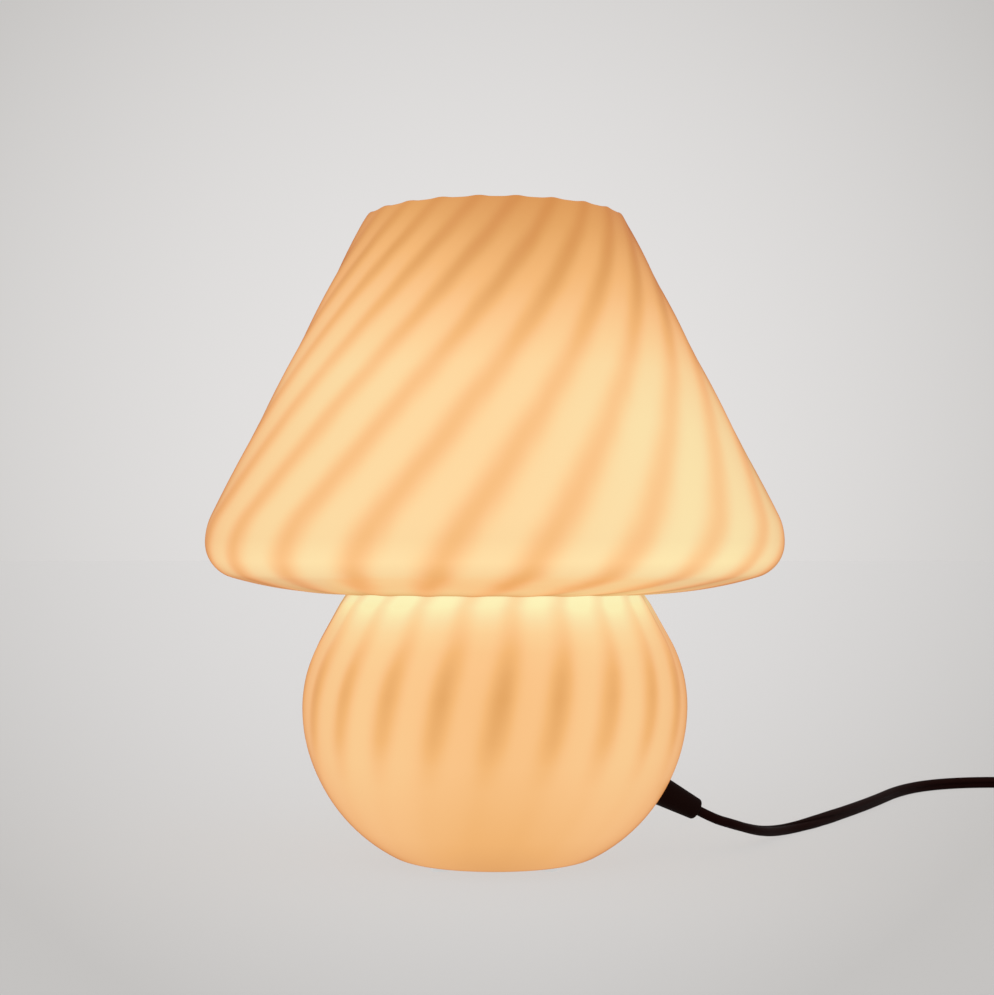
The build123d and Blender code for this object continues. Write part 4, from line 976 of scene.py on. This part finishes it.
@dataclass
class GlassBody:
    """The one-piece glass, with the same arcs as its solid, in millimetres over the glass foot."""

    foot: float = FOOT_LIFT
    wall: float = 3.2
    hole: float = 5.5
    punt_radius: float = 22.5
    punt_height: float = 8.5
    foot_round: float = 14.0
    globe_radius: float = 66.3
    equator: float = 52.5
    lower_arc: float = 57.7
    upper_arc: float = 48.9
    neck_radius: float = 51.4
    neck_height: float = 91.9
    underside_arc: float = 150.0
    shade_radius: float = 99.7
    widest: float = 109.4
    lower_turn: float = 12.0
    upper_turn: float = 20.6
    rim_radius: float = 45.2
    rim_height: float = RIM_HEIGHT
    lip_round: float = 1.4
    rib_count: int = RIB_COUNT
    rib_sharpness: float = 2.2
    rib_globe: float = 0.5
    rib_shade_foot: float = 0.25
    rib_rim: float = 0.3
    # The ribs set in over the foot, over this height, and end this far under the rim.
    rib_start: float = 18.0
    rib_fade: float = 46.0
    rib_end: float = 3.0
    rim_scallop: float = 0.55
    rim_rib_azimuth: float = -80.45
    # How fast the ribs swirl round, up to each height.
    twists: tuple = (
        (52.5, 0.22),
        (80.0, 0.19),
        (91.9, 0.085),
        (103.4, 0.40),
        (118.0, 0.64),
        (155.0, 0.60),
        (230.0, 0.636),
    )
    segments: int = 264

    @staticmethod
    def _polar(centre: tuple, radius: float, degrees: float) -> tuple[float, float]:
        """A point at an angle on a circle in the plane of radius and height."""
        angle = math.radians(degrees)
        return centre[0] + radius * math.cos(angle), centre[1] + radius * math.sin(angle)

    @staticmethod
    def _angle(centre: tuple, point: tuple) -> float:
        """The angle in degrees at which a point lies from a centre."""
        return math.degrees(math.atan2(point[1] - centre[1], point[0] - centre[0]))

    def _tangent(self, centre: tuple, radius: float, point: tuple) -> float:
        """The angle at which a straight line to a point leaves an arc."""
        way = math.hypot(point[0] - centre[0], point[1] - centre[1])
        return self._angle(centre, point) - math.degrees(math.acos(radius / way))

    def outline(self) -> OutlinePen:
        """Draws the closed section: up the outside, over the lip, and down the inside.

        Returns:
            The pen with its outline.
        """
        wall, equator = self.wall, self.equator
        low = (self.globe_radius - self.lower_arc, equator)
        high = (self.globe_radius - self.upper_arc, equator)
        rise = equator - self.foot_round
        inset = math.sqrt((self.lower_arc - self.foot_round) ** 2 - rise**2)
        foot = (low[0] + inset, self.foot_round)
        foot_turn = self._angle(low, foot)
        neck = (self.neck_radius, self.neck_height)
        flare = self._tangent(high, self.upper_arc, neck)
        turn = (self.shade_radius - self.lower_turn, self.widest)
        brow = (self.shade_radius - self.upper_turn, self.widest)
        way = math.hypot(turn[0] - neck[0], turn[1] - neck[1])
        between = self.underside_arc - self.lower_turn
        cosine = (way**2 + self.underside_arc**2 - between**2) / (2 * way * self.underside_arc)
        under_way = self._angle(neck, turn) + math.degrees(math.acos(cosine))
        under = self._polar(neck, self.underside_arc, under_way)
        under_first, under_last = self._angle(under, neck), self._angle(under, turn)
        lip_height = self.rim_height - self.lip_round - self.rim_scallop / 2
        lip = (self.rim_radius - self.lip_round, lip_height)
        cone = self._tangent(brow, self.upper_turn - self.lip_round, lip)
        slope = wall * (math.sqrt(2) - 1)

        def at(point: tuple[float, float]) -> tuple[float, float]:
            """A point over the glass foot as a radius and height in metres."""
            return point[0] * MM, (point[1] + self.foot) * MM

        pen = OutlinePen(at((self.hole, self.punt_height)))
        pen.line(at((self.punt_radius - self.punt_height, self.punt_height)), 3)
        pen.line(at((self.punt_radius, 0.0)), 4)
        pen.line(at(self._polar(foot, self.foot_round, -90)), 5)
        pen.arc(at(foot), foot_turn + 90, 10)
        pen.arc(at(low), -foot_turn, 24)
        pen.arc(at(high), flare, 20)
        pen.line(at(neck), 4)
        pen.arc(at(under), under_last - under_first, 24)
        pen.arc(at(turn), -under_last, 12)
        pen.arc(at(brow), cone, 12)
        pen.line(at(self._polar(lip, self.lip_round, cone)), 48)
        pen.arc(at(lip), 90 - cone, 3)
        outer = len(pen.points)
        rim_inside = self._polar(lip, self.lip_round - wall, cone)
        roll = self._polar(lip, self.lip_round, cone + 180)
        pen.line(at(roll), 3)
        pen.line(at(rim_inside), 1)
        pen.line(at(self._polar(brow, self.upper_turn - wall, cone)), 24)
        pen.arc(at(brow), -cone, 6)
        pen.arc(at(turn), under_last, 6)
        pen.arc(at(under), under_first - under_last, 12)
        pen.arc(at(neck), flare - under_first, 4)
        pen.line(at(self._polar(high, self.upper_arc - wall, flare)), 2)
        pen.arc(at(high), -flare, 10)
        pen.arc(at(low), foot_turn, 12)
        pen.arc(at(foot), -90 - foot_turn, 5)
        pen.line(at((self.punt_radius + slope, wall)), 3)
        pen.line(at((self.punt_radius + slope - self.punt_height, self.punt_height + wall)), 3)
        pen.line(at((self.hole, self.punt_height + wall)), 3)
        pen.close()
        self._mark(pen, outer)
        return pen

    def _twist(self, height: float) -> float:
        """How fast the ribs swirl at a height over the glass foot."""
        return next(twist for top, twist in self.twists if height <= top)

    def _rib_height(self, height: float) -> float:
        """Says how far a rib stands out.

        Args:
            height: Millimetres over the glass foot.

        Returns:
            Millimetres out of the wall.
        """
        if height > self.neck_height:
            share = (height - self.neck_height) / (self.rim_height - self.neck_height)
            return self.rib_shade_foot + (self.rib_rim - self.rib_shade_foot) * share**1.5
        share = (height - self.rib_start) / self.rib_fade
        return self.rib_globe * min(1.0, max(0.0, share))

    def _mark(self, pen: OutlinePen, outer: int) -> None:
        """Writes on each point the swirl's angle, the rib's height and which skin it is on.

        Args:
            pen: The finished outline.
            outer: How many of its points belong to the outside, up to the top of the lip.
        """
        angle = math.radians(self.rim_rib_azimuth)
        marks = []
        for i in range(outer - 1, -1, -1):
            point = pen.points[i].co
            height = point.z / MM - self.foot
            marks.append((point.x, point.z, angle))
            pen.points[i][pen.layers["swirl"]] = angle
            near_lip = min(1.0, max(0.0, (self.rim_height - height) / self.rib_end))
            relief = self._rib_height(height) * near_lip if point.x > self.punt_radius * MM else 0.0
            pen.points[i][pen.layers["relief"]] = relief * MM
            if i:
                lower = pen.points[i - 1].co
                step = (point - lower).length * 2 / (point.x + lower.x)
                angle -= self._twist(height) * step if height > 0.5 else 0.0
        for vert in pen.points[outer:]:
            vert[pen.layers["inner"]] = 1.0
            nearest = min(marks, key=lambda m: (m[0] - vert.co.x) ** 2 + (m[1] - vert.co.z) ** 2)
            vert[pen.layers["swirl"]] = nearest[2]

    def raise_ribs(self, pen: OutlinePen) -> None:
        """Lifts each point of the outside along its normal by the rib that passes there.

        Args:
            pen: The outline, spun round the lamp's axis.
        """
        swirl, relief = pen.layers["swirl"], pen.layers["relief"]
        top = (self.rim_height + self.foot - self.lip_round) * MM
        for vert in pen.bm.verts:
            around = math.atan2(vert.co.y, vert.co.x)
            crest = (1 + math.cos(self.rib_count * (around - vert[swirl]))) / 2
            swell = crest**self.rib_sharpness
            if vert.co.z > top:
                share = min(1.0, (vert.co.z - top) / (self.lip_round * MM))
                vert.co.z += share * self.rim_scallop * MM * (swell - 0.5)
            vert.co += vert.normal * vert[relief] * swell

    def build(self) -> None:
        """Spins the outline, raises the ribs and puts the glass in place of its solid."""
        pen = self.outline()
        bmesh.ops.spin(
            pen.bm,
            geom=pen.bm.verts[:] + pen.bm.edges[:],
            cent=(0.0, 0.0, 0.0),
            axis=(0.0, 0.0, 1.0),
            dvec=(0.0, 0.0, 0.0),
            angle=2 * math.pi,
            steps=self.segments,
            use_merge=True,
            use_duplicate=False,
        )
        bmesh.ops.recalc_face_normals(pen.bm, faces=pen.bm.faces[:])
        pen.bm.normal_update()
        self.raise_ribs(pen)
        for face in pen.bm.faces:
            face.smooth = True
        mesh = bpy.data.meshes.new("glass_shade_and_base")
        pen.bm.to_mesh(mesh)
        pen.bm.free()
        glass = add_piece("glass_shade_and_base", mesh, Body.LAMP)
        glass.data.materials.append(LitOpalGlass().material())
        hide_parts("glass_body")


# ---------------------------------------------------------------- carried-over nodes


class DressedNodes:
    """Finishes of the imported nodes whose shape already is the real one."""

    def finishes(self) -> dict[str, PlainFinish]:
        """Sets the finishes.

        Returns:
            Each finish under the name of its slot in the record.
        """
        return {
            # Moulded silicone: a soft pale grey. The pads are no lamp: a faint painted glow
            # lightens them out of the shade under the lamp, so that they blend with the floor, as
            # the photograph shows none.
            "clear_silicone": PlainFinish(
                "silicone_pad_painted_glow",
                "898989",
                0.4,
                specular=0.1,
                mottle=0.02,
                glow="B4BCC0",
                glow_strength=1.0,
            ),
            # Turned steel, zinc-plated: a cool grey metal, a little dull.
            "zinc_steel": PlainFinish("zinc_plated_steel", "BFC2C4", 0.34, metallic=1.0, grain=0.4),
            # Moulded rubber: nearly black and warm, without a shine.
            "black_rubber": PlainFinish(
                "matt_black_rubber", "180A08", 0.6, specular=0.03, grain=0.5
            ),
            # Moulded thermoplastic: off-white, with a soft shine.
            "white_holder_plastic": PlainFinish("white_thermoplastic", "EDEBE4", 0.38, mottle=0.02),
            # Pressed and fired steatite: a chalky white.
            "white_ceramic": PlainFinish("steatite_ceramic", "E9E5DB", 0.5, mottle=0.04, grain=0.8),
            # Stamped brass: a yellow metal that mirrors with a slight blur.
            "brass": PlainFinish("bright_brass", "D9B566", 0.26, metallic=1.0, grain=0.5),
            # Extruded vinyl: an even blue, with a soft shine.
            "core_insulation": PlainFinish("blue_vinyl_insulation", "2A4F8C", 0.4, mottle=0.05),
            # Brass plated with nickel: a warm grey metal, nearly a mirror.
            "nickel": PlainFinish("nickel_plated_brass", "CFC9BE", 0.22, metallic=1.0, grain=0.5),
            # Black glass run in hot: dark and glossy.
            "black_glass": PlainFinish("vitrified_insulator", "1A1A1E", 0.15, mottle=0.1, coat=0.4),
            # Moulded plastic: white, with a satin shine.
            "white_bulb_plastic": PlainFinish("white_satin_plastic", "F0EEE8", 0.4, mottle=0.02),
            # Blown and frosted plastic over lit chips: an even warm glow.
            "frosted_dome": PlainFinish(
                "frosted_dome_lit", "F4E9D2", 0.55, mottle=0.01, glow="FFE2B0", glow_strength=1.3
            ),
            # Rolled aluminium: a pale grey metal, a little dull.
            "aluminium_board": PlainFinish(
                "aluminium_lamp_board", "C9CACB", 0.4, metallic=1.0, grain=0.3
            ),
            # Silicone with phosphor, cast over the chips: lit yellow squares.
            "led_phosphor": PlainFinish(
                "yellow_phosphor", "F0D060", 0.5, mottle=0.03, glow="FFE7A0", glow_strength=1.5
            ),
            # Glass cloth and epoxy under lacquer: a mottled green.
            "driver_board": PlainFinish(
                "green_circuit_board", "2E6A3C", 0.45, mottle=0.2, grain=0.9
            ),
            # Woven polyester: a dull black with the relief of its threads.
            "black_tie": PlainFinish(
                "woven_black_strap", "17161A", 0.75, mottle=0.2, grain=0.35, relief=0.06
            ),
            # Moulded thermoplastic with an etched skin: a satin black.
            "black_switch_plastic": PlainFinish(
                "satin_black_thermoplastic", "191412", 0.4, grain=0.35
            ),
            # Moulded and polished thermoplastic: a black that shines more.
            "rocker_plastic": PlainFinish(
                "polished_black_thermoplastic", "1E1917", 0.25, mottle=0.05, grain=0.4
            ),
        }

    def build(self, nodes: dict, record: dict) -> None:
        """Gives each carried-over node the finish of its slot.

        Args:
            nodes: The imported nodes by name.
            record: The record, which says each node's slot.
        """
        slots = {part["node"]: part["material_slot"] for part in record["subparts"]}
        made = {slot: finish.material() for slot, finish in self.finishes().items()}
        for name, node in nodes.items():
            slot = slots.get(name)
            if slot not in made:
                continue
            if not node.material_slots:
                node.data.materials.append(made[slot])
            for place in node.material_slots:
                place.material = made[slot]


def main() -> None:
    """Builds the lamp in order and reports each sub-assembly."""
    logging.basicConfig(level=logging.INFO, format="%(name)s: %(message)s")
    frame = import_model()
    nodes = frame["nodes"]
    Studio().build()
    LOG.info("studio ready")
    FlexRun().build(nodes)
    LOG.info("flex laid")
    GlassBody().build()
    LOG.info("glass blown")
    DressedNodes().build(nodes, frame["record"])
    LOG.info("nodes dressed")


if __name__ == "__main__":
    main()
